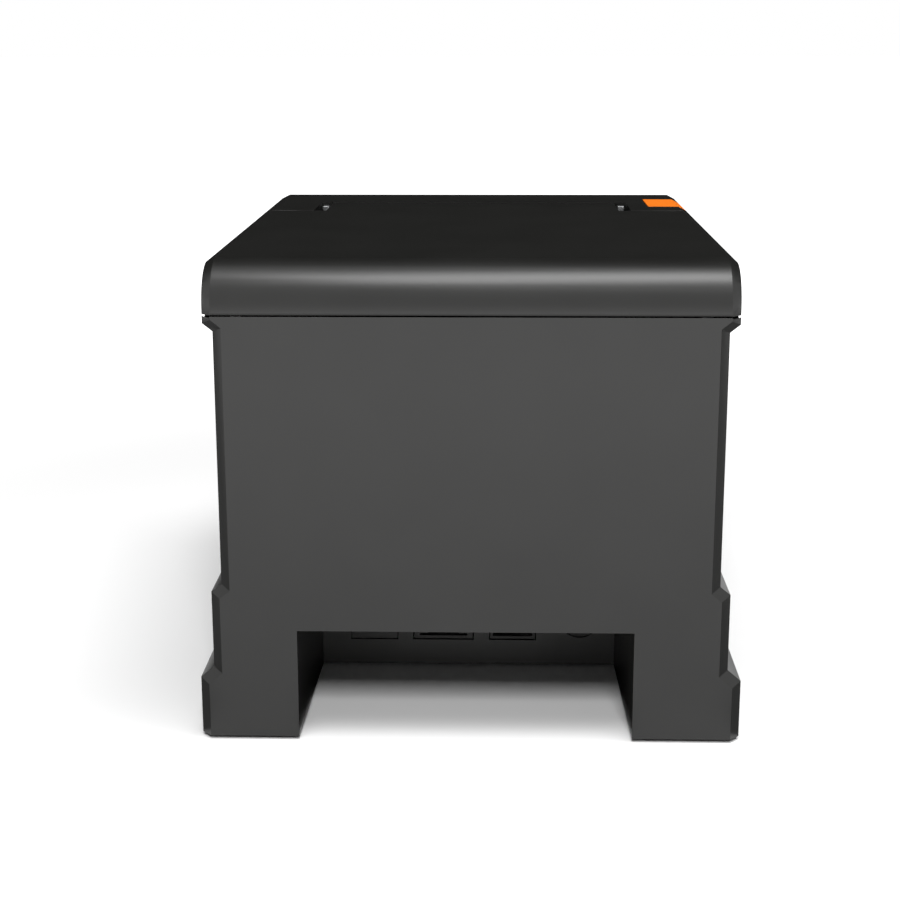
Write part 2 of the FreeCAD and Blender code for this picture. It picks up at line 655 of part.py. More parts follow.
def cap_section(x, back0, back1, side_drop, end_drop, rear_radius, front_radius, bottom):
    """Closed outline of a top cover at one X, drawn in by the chamfers."""
    top = HEIGHT - side_drop
    start = back0 + (end_drop if rear_radius else 0.0)
    end = back1 - (end_drop if front_radius else 0.0)

    def point(back, z):
        return FreeCAD.Vector(x, across(back), z)

    def corner(first, last, centre_back, centre_z, reach_back, reach_z):
        half = math.sqrt(0.5)
        middle = point(centre_back + reach_back * half, centre_z + reach_z * half)
        return Part.Arc(first, middle, last).toShape()

    edges = []
    if rear_radius:
        turn = HEIGHT - rear_radius
        low = point(start, turn)
        high = point(back0 + rear_radius, top)
        edges.append(Part.makeLine(point(start, bottom), low))
        edges.append(corner(low, high, back0 + rear_radius, turn, start - back0 - rear_radius, top - turn))
    else:
        high = point(start, top)
        edges.append(Part.makeLine(point(start, bottom), high))
    if front_radius:
        turn = HEIGHT - front_radius
        ahead = point(back1 - front_radius, top)
        fall = point(end, turn)
        edges.append(Part.makeLine(high, ahead))
        edges.append(corner(ahead, fall, back1 - front_radius, turn, end - back1 + front_radius, top - turn))
    else:
        fall = point(end, top)
        edges.append(Part.makeLine(high, fall))
    edges.append(Part.makeLine(fall, point(end, bottom)))
    edges.append(Part.makeLine(point(end, bottom), point(start, bottom)))
    return Part.Wire(edges)


def cap_outside(back0, back1, rear_radius, front_radius, bottom):
    """Outer solid of a top cover with chamfered sides."""
    half = LID_WIDTH / 2
    sections = []
    for x, side_drop, end_drop in (
        (-half, TOP_CHAMFER, EDGE_CHAMFER),
        (-half + EDGE_CHAMFER, 0.0, 0.0),
        (half - EDGE_CHAMFER, 0.0, 0.0),
        (half, TOP_CHAMFER, EDGE_CHAMFER),
    ):
        sections.append(cap_section(x, back0, back1, side_drop, end_drop, rear_radius, front_radius, bottom))
    return Part.makeLoft(sections, True, True)


def cap_hollow(back0, back1, rear_radius, front_radius):
    """Space inside a top cover, open below."""
    half = LID_WIDTH / 2 - WALL

    def point(back, z):
        return FreeCAD.Vector(-half, across(back), z)

    slant = math.sqrt(0.5)
    edges = []
    if rear_radius:
        inner = rear_radius - WALL
        turn = HEIGHT - rear_radius
        low = point(back0 + WALL, turn)
        high = point(back0 + rear_radius, ROOF_Z)
        middle = point(back0 + rear_radius - inner * slant, turn + inner * slant)
        edges.append(Part.makeLine(point(back0 + WALL, 0.0), low))
        edges.append(Part.Arc(low, middle, high).toShape())
        start = back0 + WALL
    else:
        high = point(back0, ROOF_Z)
        edges.append(Part.makeLine(point(back0, 0.0), high))
        start = back0
    if front_radius:
        inner = front_radius - WALL
        turn = HEIGHT - front_radius
        ahead = point(back1 - front_radius, ROOF_Z)
        fall = point(back1 - WALL, turn)
        middle = point(back1 - front_radius + inner * slant, turn + inner * slant)
        edges.append(Part.makeLine(high, ahead))
        edges.append(Part.Arc(ahead, middle, fall).toShape())
    else:
        fall = point(back1 - WALL, ROOF_Z)
        edges.append(Part.makeLine(high, fall))
    edges.append(Part.makeLine(fall, point(back1 - WALL, 0.0)))
    edges.append(Part.makeLine(point(back1 - WALL, 0.0), point(start, 0.0)))
    return Part.Face(Part.Wire(edges)).extrude(FreeCAD.Vector(2 * half, 0, 0))


def lid_lug():
    """Hinge lug under the lid's roof on the right, before its bore."""
    outer = WAIST_INNER - FIT_GAP - HINGE_ARM_THICKNESS - MOVE_GAP
    inner = outer - LUG_WIDTH
    web = block(inner, outer, PIVOT_BACK - HINGE_RING_RADIUS, PIVOT_BACK + HINGE_RING_RADIUS, PIVOT_Z, HEIGHT)
    return joined(web, rod_x(HINGE_RING_RADIUS, inner, outer, PIVOT_BACK, PIVOT_Z))


def lid_shell():
    """Roll lid with a rounded rear, hinge lugs and a tongue that ends at the paper slot."""
    outside = cap_outside(0.0, LID_LENGTH, LID_REAR_RADIUS, 0.0, LID_BOTTOM_Z)
    shell = less(outside, cap_hollow(0.0, LID_LENGTH, LID_REAR_RADIUS, 0.0))
    left = PATH_X - TONGUE_HALF
    right = PATH_X + TONGUE_HALF
    tongue = block(left, right, LID_LENGTH - WALL, TONGUE_END, HEIGHT - TONGUE_SKIRT_DROP, HEIGHT)
    front_edges = [edge for edge in tongue.Edges if edge.BoundBox.ZLength > TONGUE_SKIRT_DROP / 2
                   and edge.BoundBox.YMax < across(LID_LENGTH)]
    tongue = tongue.makeFillet(TONGUE_CORNER, front_edges)
    under = block(left + TONGUE_SKIRT, right - TONGUE_SKIRT, LID_LENGTH, TONGUE_END + 1, 0.0, ROOF_Z)
    tongue = less(tongue, under)
    lugs = lid_lug().common(outside)
    shell = joined(shell, tongue, lugs, mirrored(lugs))
    reach = LID_WIDTH / 2 - WALL
    bore = rod_x(HINGE_PIN_RADIUS + RUNNING_GAP, -reach, reach, PIVOT_BACK, PIVOT_Z)
    return less(shell, bore, lid_heel())


def cover_outside():
    """Outer solid of the front cover."""
    return cap_outside(COVER_BACK, DEPTH, 0.0, COVER_FRONT_RADIUS, SEAM_Z)


def key_window(grow):
    """Space of the release key in the front cover, grown by a clearance."""
    bottom = HEIGHT - KEY_SKIRT - (KEY_TRAVEL if grow else 0.0) - grow
    end = KEY_START + KEY_LENGTH + grow
    return block(-BASE_WIDTH, -KEY_INNER_X + grow, KEY_START - grow, end, bottom, HEIGHT + 1)


def front_cover():
    """Fixed cover round the slot, with corner notches, a key window and locating lips."""
    shell = less(cover_outside(), cap_hollow(COVER_BACK - 1, DEPTH, 0.0, COVER_FRONT_RADIUS))
    lip_out = WAIST_INNER - FIT_GAP
    lip_start = COVER_BACK + WALL
    lip_end = KEY_START - WALL
    ledge = block(lip_out - WALL, LID_WIDTH / 2 - WALL / 2, lip_start, lip_end, SEAM_Z, SEAM_Z + WALL)
    lip = block(lip_out - WALL, lip_out, lip_start, lip_end, RIM_LOW_Z - WALL, SEAM_Z + WALL)
    wide = CONTROL_WIDTH / 2
    front_end = FRONT_INNER - FIT_GAP
    front_lip = block(-wide, wide, front_end - WALL, front_end, RIM_HIGH_Z, SEAM_Z + WALL)
    front_ledge = block(-wide, wide, front_end - WALL, FRONT_INNER + WALL / 2, SEAM_Z, SEAM_Z + WALL)
    side = joined(ledge, lip)
    shell = joined(shell, side, mirrored(side), front_lip, front_ledge)
    half = TONGUE_HALF + SLOT_SIDE_GAP
    slot = block(PATH_X - half, PATH_X + half, COVER_BACK - 2, SLOT_FRONT, SEAM_Z - 1, HEIGHT + 1)
    notch = block(PATH_X - NOTCH_HALF, PATH_X + NOTCH_HALF, COVER_BACK - 2, NOTCH_END, SEAM_Z - 1, HEIGHT + 1)
    return less(shell, slot, notch, key_window(MOVE_GAP))


def connector_panel():
    """Plate at the end of the cable bay, with an opening for each port."""
    half = BAY_WIDTH / 2 - BAY_DRAFT + WALL - FIT_GAP
    plate = block(BAY_X - half, BAY_X + half, BAY_DEPTH, PANEL_BACK, FOOT_HEIGHT, BAY_HEIGHT + WALL)
    top = BOARD_TOP_Z + PORT_HEIGHT + PORT_GAP
    cuts = []
    for x, width in ((BLANK_X, BLANK_WIDTH), (LAN_X, LAN_WIDTH), (USB_X, USB_WIDTH)):
        reach = width / 2 + PORT_GAP
        cuts.append(block(x - reach, x + reach, BAY_DEPTH - 1, PANEL_BACK + 1, BOARD_TOP_Z - PORT_GAP, top))
    power_z = BOARD_TOP_Z + POWER_RISE + POWER_RADIUS
    cuts.append(rod_y(POWER_RADIUS + PORT_GAP, POWER_X, BAY_DEPTH - 1, PANEL_BACK + 1, power_z))
    return less(plate, *cuts)


def port_block(x, width):
    """Outer block of a rectangular port that stands on the main board."""
    return block(x - width / 2, x + width / 2, BAY_DEPTH + PORT_RECESS, BOARD_BACK + PORT_DEPTH,
                 BOARD_TOP_Z, BOARD_TOP_Z + PORT_HEIGHT)


def port_blank():
    """Cover of the unused port opening, with a flange behind the panel."""
    cover = block(BLANK_X - BLANK_WIDTH / 2, BLANK_X + BLANK_WIDTH / 2, BAY_DEPTH + PORT_RECESS, PANEL_BACK,
                  BOARD_TOP_Z, BOARD_TOP_Z + PORT_HEIGHT)
    reach = BLANK_WIDTH / 2 + PANEL_BORDER
    flange = block(BLANK_X - reach, BLANK_X + reach, PANEL_BACK, PANEL_BACK + 1.0, BOARD_TOP_Z + FIT_GAP,
                   BOARD_TOP_Z + PORT_HEIGHT + PANEL_BORDER)
    return joined(cover, flange)


def lan_socket():
    """Network socket with a stepped opening for the latch of the plug."""
    floor = BOARD_TOP_Z + LAN_RIM
    top = BOARD_TOP_Z + PORT_HEIGHT - LAN_RIM
    end = BAY_DEPTH + PORT_DEPTH - PORT_END_WALL
    cuts = []
    opening = LAN_WIDTH - 2 * LAN_RIM
    for width, low, high in ((opening, floor + LAN_OPENING_RISE, top), (LAN_STEP_WIDTH, floor, top),
                             (LAN_SLIT_WIDTH, floor, floor + LAN_SLIT_HEIGHT)):
        cuts.append(block(LAN_X - width / 2, LAN_X + width / 2, BAY_DEPTH, end, low, high))
    return less(port_block(LAN_X, LAN_WIDTH), *cuts)


def usb_socket():
    """Square data socket with a centre tongue."""
    half = USB_WIDTH / 2 - USB_RIM
    end = BAY_DEPTH + PORT_DEPTH - PORT_END_WALL
    top = BOARD_TOP_Z + PORT_HEIGHT - USB_RIM
    hollow = block(USB_X - half, USB_X + half, BAY_DEPTH, end, BOARD_TOP_Z + USB_RIM, top)
    tongue_z = top - USB_TONGUE_DROP
    reach = USB_TONGUE_WIDTH / 2
    tongue = block(USB_X - reach, USB_X + reach, BAY_DEPTH + USB_TONGUE_RECESS, end, tongue_z,
                   tongue_z + USB_TONGUE_THICKNESS)
    return joined(less(port_block(USB_X, USB_WIDTH), hollow), tongue)


def power_socket():
    """Round three-pin power socket on a square foot."""
    z = BOARD_TOP_Z + POWER_RISE + POWER_RADIUS
    foot_end = BOARD_BACK + PORT_DEPTH
    barrel = rod_y(POWER_RADIUS, POWER_X, BAY_DEPTH + PORT_RECESS, foot_end, z)
    foot = block(POWER_X - POWER_RADIUS, POWER_X + POWER_RADIUS, BOARD_BACK, foot_end, BOARD_TOP_Z, z)
    end = BAY_DEPTH + PORT_DEPTH - PORT_END_WALL
    hollow = rod_y(POWER_RADIUS - POWER_RIM, POWER_X, BAY_DEPTH, end, z)
    body = less(joined(barrel, foot), hollow)
    pins = []
    for angle in (90, 210, 330):
        turn = math.radians(angle)
        x = POWER_X + POWER_PIN_CIRCLE * math.cos(turn)
        pin_z = z + POWER_PIN_CIRCLE * math.sin(turn)
        pins.append(rod_y(POWER_PIN_RADIUS, x, BAY_DEPTH + POWER_PIN_RECESS, end + POWER_PIN_RADIUS, pin_z))
    return joined(body, *pins)


def hinge_brackets():
    """Goose-neck brackets on the rear wall that hold the lid's pins clear of the lid."""
    outer = WAIST_INNER - FIT_GAP
    inner = outer - HINGE_ARM_THICKNESS
    half = HINGE_RING_RADIUS - 1.0
    end = PIVOT_BACK + HINGE_ARM_REACH
    foot_z = PIVOT_Z - HINGE_FOOT_DROP
    ring = rod_x(HINGE_RING_RADIUS, inner, outer, PIVOT_BACK, PIVOT_Z)
    arm = block(inner, outer, PIVOT_BACK, end, PIVOT_Z - half, PIVOT_Z + half)
    leg = block(inner, outer, end - 2 * half, end, foot_z, PIVOT_Z + half)
    foot = block(inner, outer, WALL, end, foot_z, foot_z + 2 * half)
    bore = rod_x(HINGE_PIN_RADIUS, inner, outer, PIVOT_BACK, PIVOT_Z)
    return both_sides(less(joined(ring, arm, leg, foot), bore))


def hinge_pins():
    """Two pins that the lid turns on."""
    outer = WAIST_INNER - FIT_GAP
    inner = outer - HINGE_ARM_THICKNESS - MOVE_GAP - LUG_WIDTH
    return both_sides(rod_x(HINGE_PIN_RADIUS, inner - 0.5, outer, PIVOT_BACK, PIVOT_Z))


def paper_bucket():
    """Tub for the paper roll, with flanges at its sides and lugs for the near-end lever."""

    def tub(radius, half, top):
        low = rod_x(radius, -half, half, ROLL_BACK, ROLL_Z)
        high = block(-half, half, ROLL_BACK - radius, ROLL_BACK + radius, ROLL_Z, top)
        under = block(-half, half, ROLL_BACK - radius, ROLL_BACK + radius, 0.0, top)
        return joined(low, high).common(under)

    flange_end = WAIST_INNER - FIT_GAP
    added = []
    for back in rib_places():
        reach = BUCKET_FLANGE_LENGTH / 2
        flange = block(BUCKET_IN, flange_end, back - reach, back + reach, BUCKET_FLANGE_Z,
                       BUCKET_FLANGE_Z + BUCKET_FLANGE_THICKNESS)
        added += [flange, mirrored(flange)]
    for sign in (1, -1):
        centre = ROLL_BACK + sign * (LEVER_LENGTH / 2 + FIT_GAP + LEVER_THICKNESS / 2)
        reach = LEVER_THICKNESS / 2
        added.append(block(BUCKET_IN, lever_x() + LEVER_BARREL_RADIUS, centre - reach, centre + reach,
                           LEVER_Z - LEVER_BARREL_RADIUS, LEVER_Z + LEVER_BARREL_RADIUS))
    body = joined(tub(BUCKET_RADIUS, BUCKET_OUT, BUCKET_TOP_Z), *added)
    half = LEVER_LENGTH / 2 - 1.0
    window = block(BUCKET_IN - 1, BUCKET_OUT + 1, ROLL_BACK - half, ROLL_BACK + half,
                   LEVER_Z - LEVER_DROP - 3.0, LEVER_Z - LEVER_DROP + 4.5)
    pin_bore = rod_y(LEVER_PIN_RADIUS, lever_x(), 0, DEPTH, LEVER_Z)
    return less(body, tub(ROLL_RADIUS, BUCKET_IN, HEIGHT), window, pin_bore)


def lever_x():
    """X of the near-end lever's pin."""
    return BUCKET_OUT + LEVER_BARREL_RADIUS + MOVE_GAP


def near_end_lever():
    """Lever whose nose feels the side of the paper roll through the bucket's wall."""
    half = LEVER_LENGTH / 2 - FIT_GAP
    x = lever_x()
    barrel = rod_y(LEVER_BARREL_RADIUS, x, ROLL_BACK - half, ROLL_BACK + half, LEVER_Z)
    arm = block(x - LEVER_THICKNESS / 2, x + LEVER_THICKNESS / 2, ROLL_BACK - half, ROLL_BACK + half,
                LEVER_Z - LEVER_DROP, LEVER_Z)
    nose_half = LEVER_LENGTH / 2 - 2.0
    nose = block(BUCKET_IN - LEVER_NOSE, x, ROLL_BACK - nose_half, ROLL_BACK + nose_half,
                 LEVER_Z - LEVER_DROP, LEVER_Z - LEVER_DROP + LEVER_THICKNESS + 1)
    bore = rod_y(LEVER_PIN_RADIUS + RUNNING_GAP, x, 0, DEPTH, LEVER_Z)
    return less(joined(barrel, arm, nose), bore)


def near_end_pin():
    """Pin of the near-end lever."""
    reach = LEVER_LENGTH / 2 + FIT_GAP + LEVER_THICKNESS
    return rod_y(LEVER_PIN_RADIUS, lever_x(), ROLL_BACK - reach, ROLL_BACK + reach, LEVER_Z)


def gear_outline(teeth, phase):
    """Points of an involute gear with one tooth centred at the phase angle, in degrees."""
    pitch = GEAR_MODULE * teeth / 2
    base = pitch * math.cos(math.radians(20))
    tip = pitch + GEAR_MODULE
    root = pitch - 1.25 * GEAR_MODULE

    def involute(radius):
        slope = math.acos(min(1.0, base / radius))
        return math.tan(slope) - slope

    thick = math.pi / (2 * teeth) - GEAR_BACKLASH / (2 * pitch) + involute(pitch)
    low = max(base, root)
    flank = [low + (tip - low) * step / 4 for step in range(5)]
    points = []
    for index in range(teeth):
        middle = math.radians(phase) + 2 * math.pi * index / teeth
        rise = [(root, middle - thick)] + [(r, middle - thick + involute(r)) for r in flank]
        fall = [(r, middle + thick - involute(r)) for r in reversed(flank)] + [(root, middle + thick)]
        points += rise + fall
    return [(r * math.cos(angle), r * math.sin(angle)) for r, angle in points]


def gear_x(teeth, phase, bore, back, z):
    """Spur gear on an axis along X, with its bore."""
    corners = [FreeCAD.Vector(GEAR_X, across(back) + a, z + b) for a, b in gear_outline(teeth, phase)]
    face = Part.Face(Part.makePolygon(corners + corners[:1]))
    body = face.extrude(FreeCAD.Vector(GEAR_WIDTH, 0, 0))
    return less(body, rod_x(bore, GEAR_X - 1, GEAR_X + GEAR_WIDTH + 1, back, z))


def idler_phase():
    """Phase that puts a gap of the idler at the platen gear's lowest tooth."""
    return 90.0 + 180.0 / IDLER_TEETH


def motor_phase():
    """Phase that meshes the motor pinion with the idler."""
    step = 360.0 / IDLER_TEETH
    offset = (idler_phase() - MOTOR_DIRECTION_DEG) % step
    return MOTOR_DIRECTION_DEG + 180.0 - offset * IDLER_TEETH / MOTOR_TEETH + 180.0 / MOTOR_TEETH


def platen_shaft():
    """Steel shaft of the platen, long enough to drop into the cheeks' open slots."""
    end = CHEEK_OUT + FIT_GAP
    return rod_x(SHAFT_RADIUS, -end, end, PLATEN_BACK, PLATEN_Z)


def platen_roller():
    """Rubber sleeve of the platen."""
    half = PLATEN_LENGTH / 2
    sleeve = rod_x(PLATEN_RADIUS, -half, half, PLATEN_BACK, PLATEN_Z)
    return less(sleeve, rod_x(SHAFT_RADIUS, -half, half, PLATEN_BACK, PLATEN_Z))


def platen_gear():
    """Gear at the end of the platen's shaft."""
    return gear_x(PLATEN_TEETH, -90.0, SHAFT_RADIUS, PLATEN_BACK, PLATEN_Z)


def platen_bushes():
    """Bearing bushes of the platen's shaft in the frame."""
    bush = rod_x(BUSH_RADIUS, FRAME_IN, FRAME_OUT, PLATEN_BACK, PLATEN_Z)
    bore = rod_x(SHAFT_RADIUS + RUNNING_GAP, 0, FRAME_OUT + 1, PLATEN_BACK, PLATEN_Z)
    return both_sides(less(bush, bore))


def platen_frame():
    """Folded steel frame under the lid's tongue that holds the platen."""
    outer = FRAME_OUT
    web = block(-outer, outer, FRAME_BACK_START, FRAME_BACK_END, ROOF_Z - FRAME_PLATE, ROOF_Z)
    fold = block(-outer, outer, FRAME_BACK_START, FRAME_BACK_START + FRAME_PLATE,
                 FIXED_BLADE_Z - BLADE_THICKNESS, ROOF_Z)
    low = PLATEN_Z - BUSH_RADIUS - FRAME_PLATE
    outline = [(FRAME_BACK_START, ROOF_Z), (FRAME_BACK_START, FIXED_BLADE_Z - BLADE_THICKNESS),
               (PLATEN_BACK - PLATEN_RADIUS, low), (PLATEN_BACK + PLATEN_RADIUS, low),
               (FRAME_BACK_END, PLATEN_Z), (FRAME_BACK_END, ROOF_Z)]
    cheek = plate_x(outline, FRAME_IN, outer)
    frame = joined(web, fold, cheek, mirrored(cheek))
    return less(frame, rod_x(BUSH_RADIUS, -outer, outer, PLATEN_BACK, PLATEN_Z))


def fixed_blade():
    """Blade under the tongue that the moving blade cuts against."""
    half = FRAME_IN
    start = PLATEN_BACK - PLATEN_RADIUS
    z1 = FIXED_BLADE_Z + BLADE_THICKNESS
    outline = [(start, z1), (start, FIXED_BLADE_Z), (FIXED_BLADE_END, FIXED_BLADE_Z),
               (FIXED_BLADE_END - BLADE_THICKNESS, z1)]
    return plate_x(outline, -half, half)


def mechanism_chassis():
    """Folded steel chassis with two cheeks, open shaft slots, ears and a pressure wall."""
    foot = CHEEK_OUT + 2 * POST_RADIUS + FIT_GAP
    floor = block(-foot, foot, CHASSIS_START, CHASSIS_END, CHASSIS_FLOOR_Z, FLOOR_TOP_Z)
    outline = [(CHASSIS_START, CHASSIS_FLOOR_Z), (CHASSIS_START, CHEEK_REAR_TOP_Z),
               (CHEEK_STEP_BACK, CHEEK_REAR_TOP_Z), (CHEEK_STEP_BACK, CHEEK_TOP_Z),
               (EAR_BACK, CHEEK_TOP_Z), (EAR_BACK, EAR_TOP_Z), (EAR_BACK + EAR_LENGTH, EAR_TOP_Z),
               (EAR_BACK + EAR_LENGTH, CHEEK_TOP_Z), (CHASSIS_END, CHEEK_TOP_Z), (CHASSIS_END, CHASSIS_FLOOR_Z)]
    cheek = plate_x(outline, CHEEK_IN, CHEEK_OUT)
    wall_half = PRESSURE_WALL_WIDTH / 2
    wall = block(-wall_half, wall_half, PRESSURE_WALL_BACK, PRESSURE_WALL_BACK + CHEEK_THICKNESS,
                 CHASSIS_FLOOR_Z, PRESSURE_WALL_TOP_Z)
    body = joined(floor, cheek, mirrored(cheek), wall)
    slot_half = SHAFT_RADIUS + MOVE_GAP
    slot = joined(block(-foot, foot, PLATEN_BACK - slot_half, PLATEN_BACK + slot_half, PLATEN_Z, HEIGHT),
                  rod_x(slot_half, -foot, foot, PLATEN_BACK, PLATEN_Z))
    keep_wall = block(-CHEEK_IN, CHEEK_IN, 0, DEPTH, FLOOR_TOP_Z, HEIGHT)
    cuts = [less(slot, keep_wall)]
    cuts.append(rod_x(HEAD_PIVOT_RADIUS, -foot, foot, HEAD_PIVOT_BACK, HEAD_PIVOT_Z))
    cuts.append(rod_x(IDLER_AXLE_RADIUS, 0, foot, PLATEN_BACK, IDLER_Z))
    cuts.append(rod_x(LATCH_PIN_RADIUS, -foot, 0, LATCH_PIVOT_BACK, LATCH_PIVOT_Z))
    for x, back in post_places():
        cuts.append(rod_z(SCREW_RADIUS + FIT_GAP, x, back, CHASSIS_FLOOR_Z, FLOOR_TOP_Z))
    return less(body, *cuts)


def motor_bracket():
    """Upright plate that holds the feed motor beside the gears."""
    half = MOTOR_SIZE / 2 + 1.0
    x1 = MOTOR_FACE_X + MOTOR_BRACKET_THICKNESS
    plate = block(MOTOR_FACE_X, x1, MOTOR_BACK - half, MOTOR_BACK + half, FLOOR_TOP_Z, MOTOR_Z + half)
    foot = block(MOTOR_FACE_X - MOTOR_LENGTH / 3, x1, MOTOR_BACK - half, MOTOR_BACK + half, FLOOR_TOP_Z,
                 FLOOR_TOP_Z + MOTOR_BRACKET_THICKNESS)
    return less(joined(plate, foot), rod_x(MOTOR_BOSS_RADIUS, 0, x1, MOTOR_BACK, MOTOR_Z))


def feed_motor():
    """Square stepper motor with a round front boss."""
    half = MOTOR_SIZE / 2
    body = block(MOTOR_FACE_X - MOTOR_LENGTH, MOTOR_FACE_X, MOTOR_BACK - half, MOTOR_BACK + half,
                 MOTOR_Z - half, MOTOR_Z + half)
    along = [edge for edge in body.Edges if abs(edge.BoundBox.XLength - MOTOR_LENGTH) < 1e-6]
    body = body.makeChamfer(MOTOR_SIZE / 10, along)
    boss_end = MOTOR_FACE_X + MOTOR_BRACKET_THICKNESS / 2
    boss = rod_x(MOTOR_BOSS_RADIUS, MOTOR_FACE_X, boss_end, MOTOR_BACK, MOTOR_Z)
    start = MOTOR_FACE_X - MOTOR_LENGTH / 2
    bore = rod_x(MOTOR_SHAFT_RADIUS + RUNNING_GAP, start, GEAR_X, MOTOR_BACK, MOTOR_Z)
    return less(joined(body, boss), bore)


def motor_pinion():
    """Pinion on the feed motor's shaft, with the shaft."""
    start = MOTOR_FACE_X - MOTOR_LENGTH / 2 + MOVE_GAP
    shaft = rod_x(MOTOR_SHAFT_RADIUS, start, GEAR_X + GEAR_WIDTH + MOVE_GAP, MOTOR_BACK, MOTOR_Z)
    return joined(gear_x(MOTOR_TEETH, motor_phase(), MOTOR_SHAFT_RADIUS, MOTOR_BACK, MOTOR_Z), shaft)


def idler_gear():
    """Gear between the motor and the platen, hung below the platen's gear."""
    return gear_x(IDLER_TEETH, idler_phase(), IDLER_AXLE_RADIUS + RUNNING_GAP, PLATEN_BACK, IDLER_Z)


def idler_axle():
    """Stub axle of the idler in the right cheek, with a collar against the cheek."""
    pin = rod_x(IDLER_AXLE_RADIUS, GEAR_X - MOVE_GAP / 2, CHEEK_OUT, PLATEN_BACK, IDLER_Z)
    collar = rod_x(2 * IDLER_AXLE_RADIUS, GEAR_X + GEAR_WIDTH + MOVE_GAP, CHEEK_IN, PLATEN_BACK, IDLER_Z)
    return joined(pin, collar)


def print_head():
    """Ceramic strip that heats the paper."""
    half = HEAD_WIDTH / 2
    return block(-half, half, CERAMIC_BACK, HEATSINK_BACK, CERAMIC_BOTTOM_Z, CERAMIC_TOP_Z)


def head_heatsink():
    """Aluminium plate behind the ceramic strip, turning on its pin."""
    half = HEAD_WIDTH / 2
    plate = block(-half, half, HEATSINK_BACK, HEATSINK_FRONT, HEAD_PIVOT_Z, HEAD_TOP_Z)
    boss = rod_x(HEAD_BOSS_RADIUS, -half, half, HEAD_PIVOT_BACK, HEAD_PIVOT_Z)
    bore = rod_x(HEAD_PIVOT_RADIUS + RUNNING_GAP, -half, half, HEAD_PIVOT_BACK, HEAD_PIVOT_Z)
    return less(joined(plate, boss), bore)


def head_pivot_pin():
    """Pin across the cheeks that the print head turns on."""
    return rod_x(HEAD_PIVOT_RADIUS, -CHEEK_OUT, CHEEK_OUT, HEAD_PIVOT_BACK, HEAD_PIVOT_Z)


def coil(length):
    """Round-wire compression spring along Z from the origin."""
    middle = SPRING_RADIUS - SPRING_WIRE / 2
    rise = length - SPRING_WIRE - 2 * FIT_GAP
    helix = Part.makeHelix(rise / SPRING_TURNS, rise, middle)
    start = FreeCAD.Vector(middle, 0, 0)
    ring = Part.Wire(Part.makeCircle(SPRING_WIRE / 2, start, FreeCAD.Vector(0, 1, 0)))
    spring = Part.Wire(helix).makePipeShell([ring], True, True)
    spring.translate(FreeCAD.Vector(0, 0, SPRING_WIRE / 2 + FIT_GAP))
    return spring


def head_springs():
    """Three springs that press the head on the platen."""
    springs = []
    for index in (-1, 0, 1):
        spring = coil(PRESSURE_WALL_BACK - HEATSINK_FRONT)
        spring.rotate(FreeCAD.Vector(0, 0, 0), FreeCAD.Vector(1, 0, 0), -90)
        spring.translate(FreeCAD.Vector(index * HEAD_SPRING_SPACING, across(PRESSURE_WALL_BACK), HEAD_SPRING_Z))
        springs.append(spring)
    return Part.makeCompound(springs)


def cutter_frame():
    """Plate between the cheeks that carries the moving blade, its guide and the cutter motor."""
    top = CUTTER_FLOOR_Z + CUTTER_FLOOR_THICKNESS
    plate = block(-CHEEK_IN, CHEEK_IN, CUTTER_START, CUTTER_END, CUTTER_FLOOR_Z, top)
    inner = BLADE_HALF_WIDTH + MOVE_GAP
    guide = block(-inner - 3.0, -inner, CUTTER_START + 2, CUTTER_END, top, BLADE_Z + BLADE_THICKNESS)
    hole = rod_z(CUTTER_SHAFT_RADIUS + RUNNING_GAP, CUTTER_X, CUTTER_BACK, CUTTER_FLOOR_Z, top)
    return less(joined(plate, guide), hole)


def moving_blade():
    """Blade that slides back across the slot, with a rack on its right edge."""
    half = BLADE_HALF_WIDTH
    outline = [(-half, BLADE_START), (0.0, BLADE_START + BLADE_V_DEPTH), (half, BLADE_START),
               (half, BLADE_END), (-half, BLADE_END)]
    body = plate_z(outline, BLADE_Z, BLADE_Z + BLADE_THICKNESS)
    pitch = math.pi * GEAR_MODULE
    slope = math.tan(math.radians(20))
    wide = pitch / 4 + 1.25 * GEAR_MODULE * slope - GEAR_BACKLASH / 2
    narrow = pitch / 4 - GEAR_MODULE * slope - GEAR_BACKLASH / 2
    teeth = []
    for index in range(-1, math.ceil(BLADE_STROKE / pitch) + 1):
        back = CUTTER_BACK + index * pitch
        tooth = [(half - 1.0, back - wide), (half, back - wide), (RACK_X + GEAR_MODULE, back - narrow),
                 (RACK_X + GEAR_MODULE, back + narrow), (half, back + wide), (half - 1.0, back + wide)]
        teeth.append(plate_z(tooth, BLADE_Z, BLADE_Z + BLADE_THICKNESS))
    return joined(body, *teeth)


def cutter_pinion():
    """Pinion that drives the blade's rack, with its shaft."""
    z0 = BLADE_Z - BLADE_LIFT / 2
    outline = gear_outline(CUTTER_TEETH, 180.0 + 180.0 / CUTTER_TEETH)
    corners = [FreeCAD.Vector(CUTTER_X + a, across(CUTTER_BACK) + b, z0) for a, b in outline]
    face = Part.Face(Part.makePolygon(corners + corners[:1]))
    wheel = face.extrude(FreeCAD.Vector(0, 0, BLADE_THICKNESS + BLADE_LIFT))
    shaft = rod_z(CUTTER_SHAFT_RADIUS, CUTTER_X, CUTTER_BACK, CUTTER_FLOOR_Z - CUTTER_MOTOR_LENGTH / 2, z0)
    return joined(wheel, shaft)


def cutter_motor():
    """Small round motor below the cutter frame."""
    low_z = CUTTER_FLOOR_Z - CUTTER_MOTOR_LENGTH
    can = rod_z(CUTTER_MOTOR_RADIUS, CUTTER_X, CUTTER_BACK, low_z, CUTTER_FLOOR_Z)
    bore = rod_z(CUTTER_SHAFT_RADIUS + RUNNING_GAP, CUTTER_X, CUTTER_BACK,
                 CUTTER_FLOOR_Z - CUTTER_MOTOR_LENGTH / 2 - MOVE_GAP, CUTTER_FLOOR_Z)
    return less(can, bore)


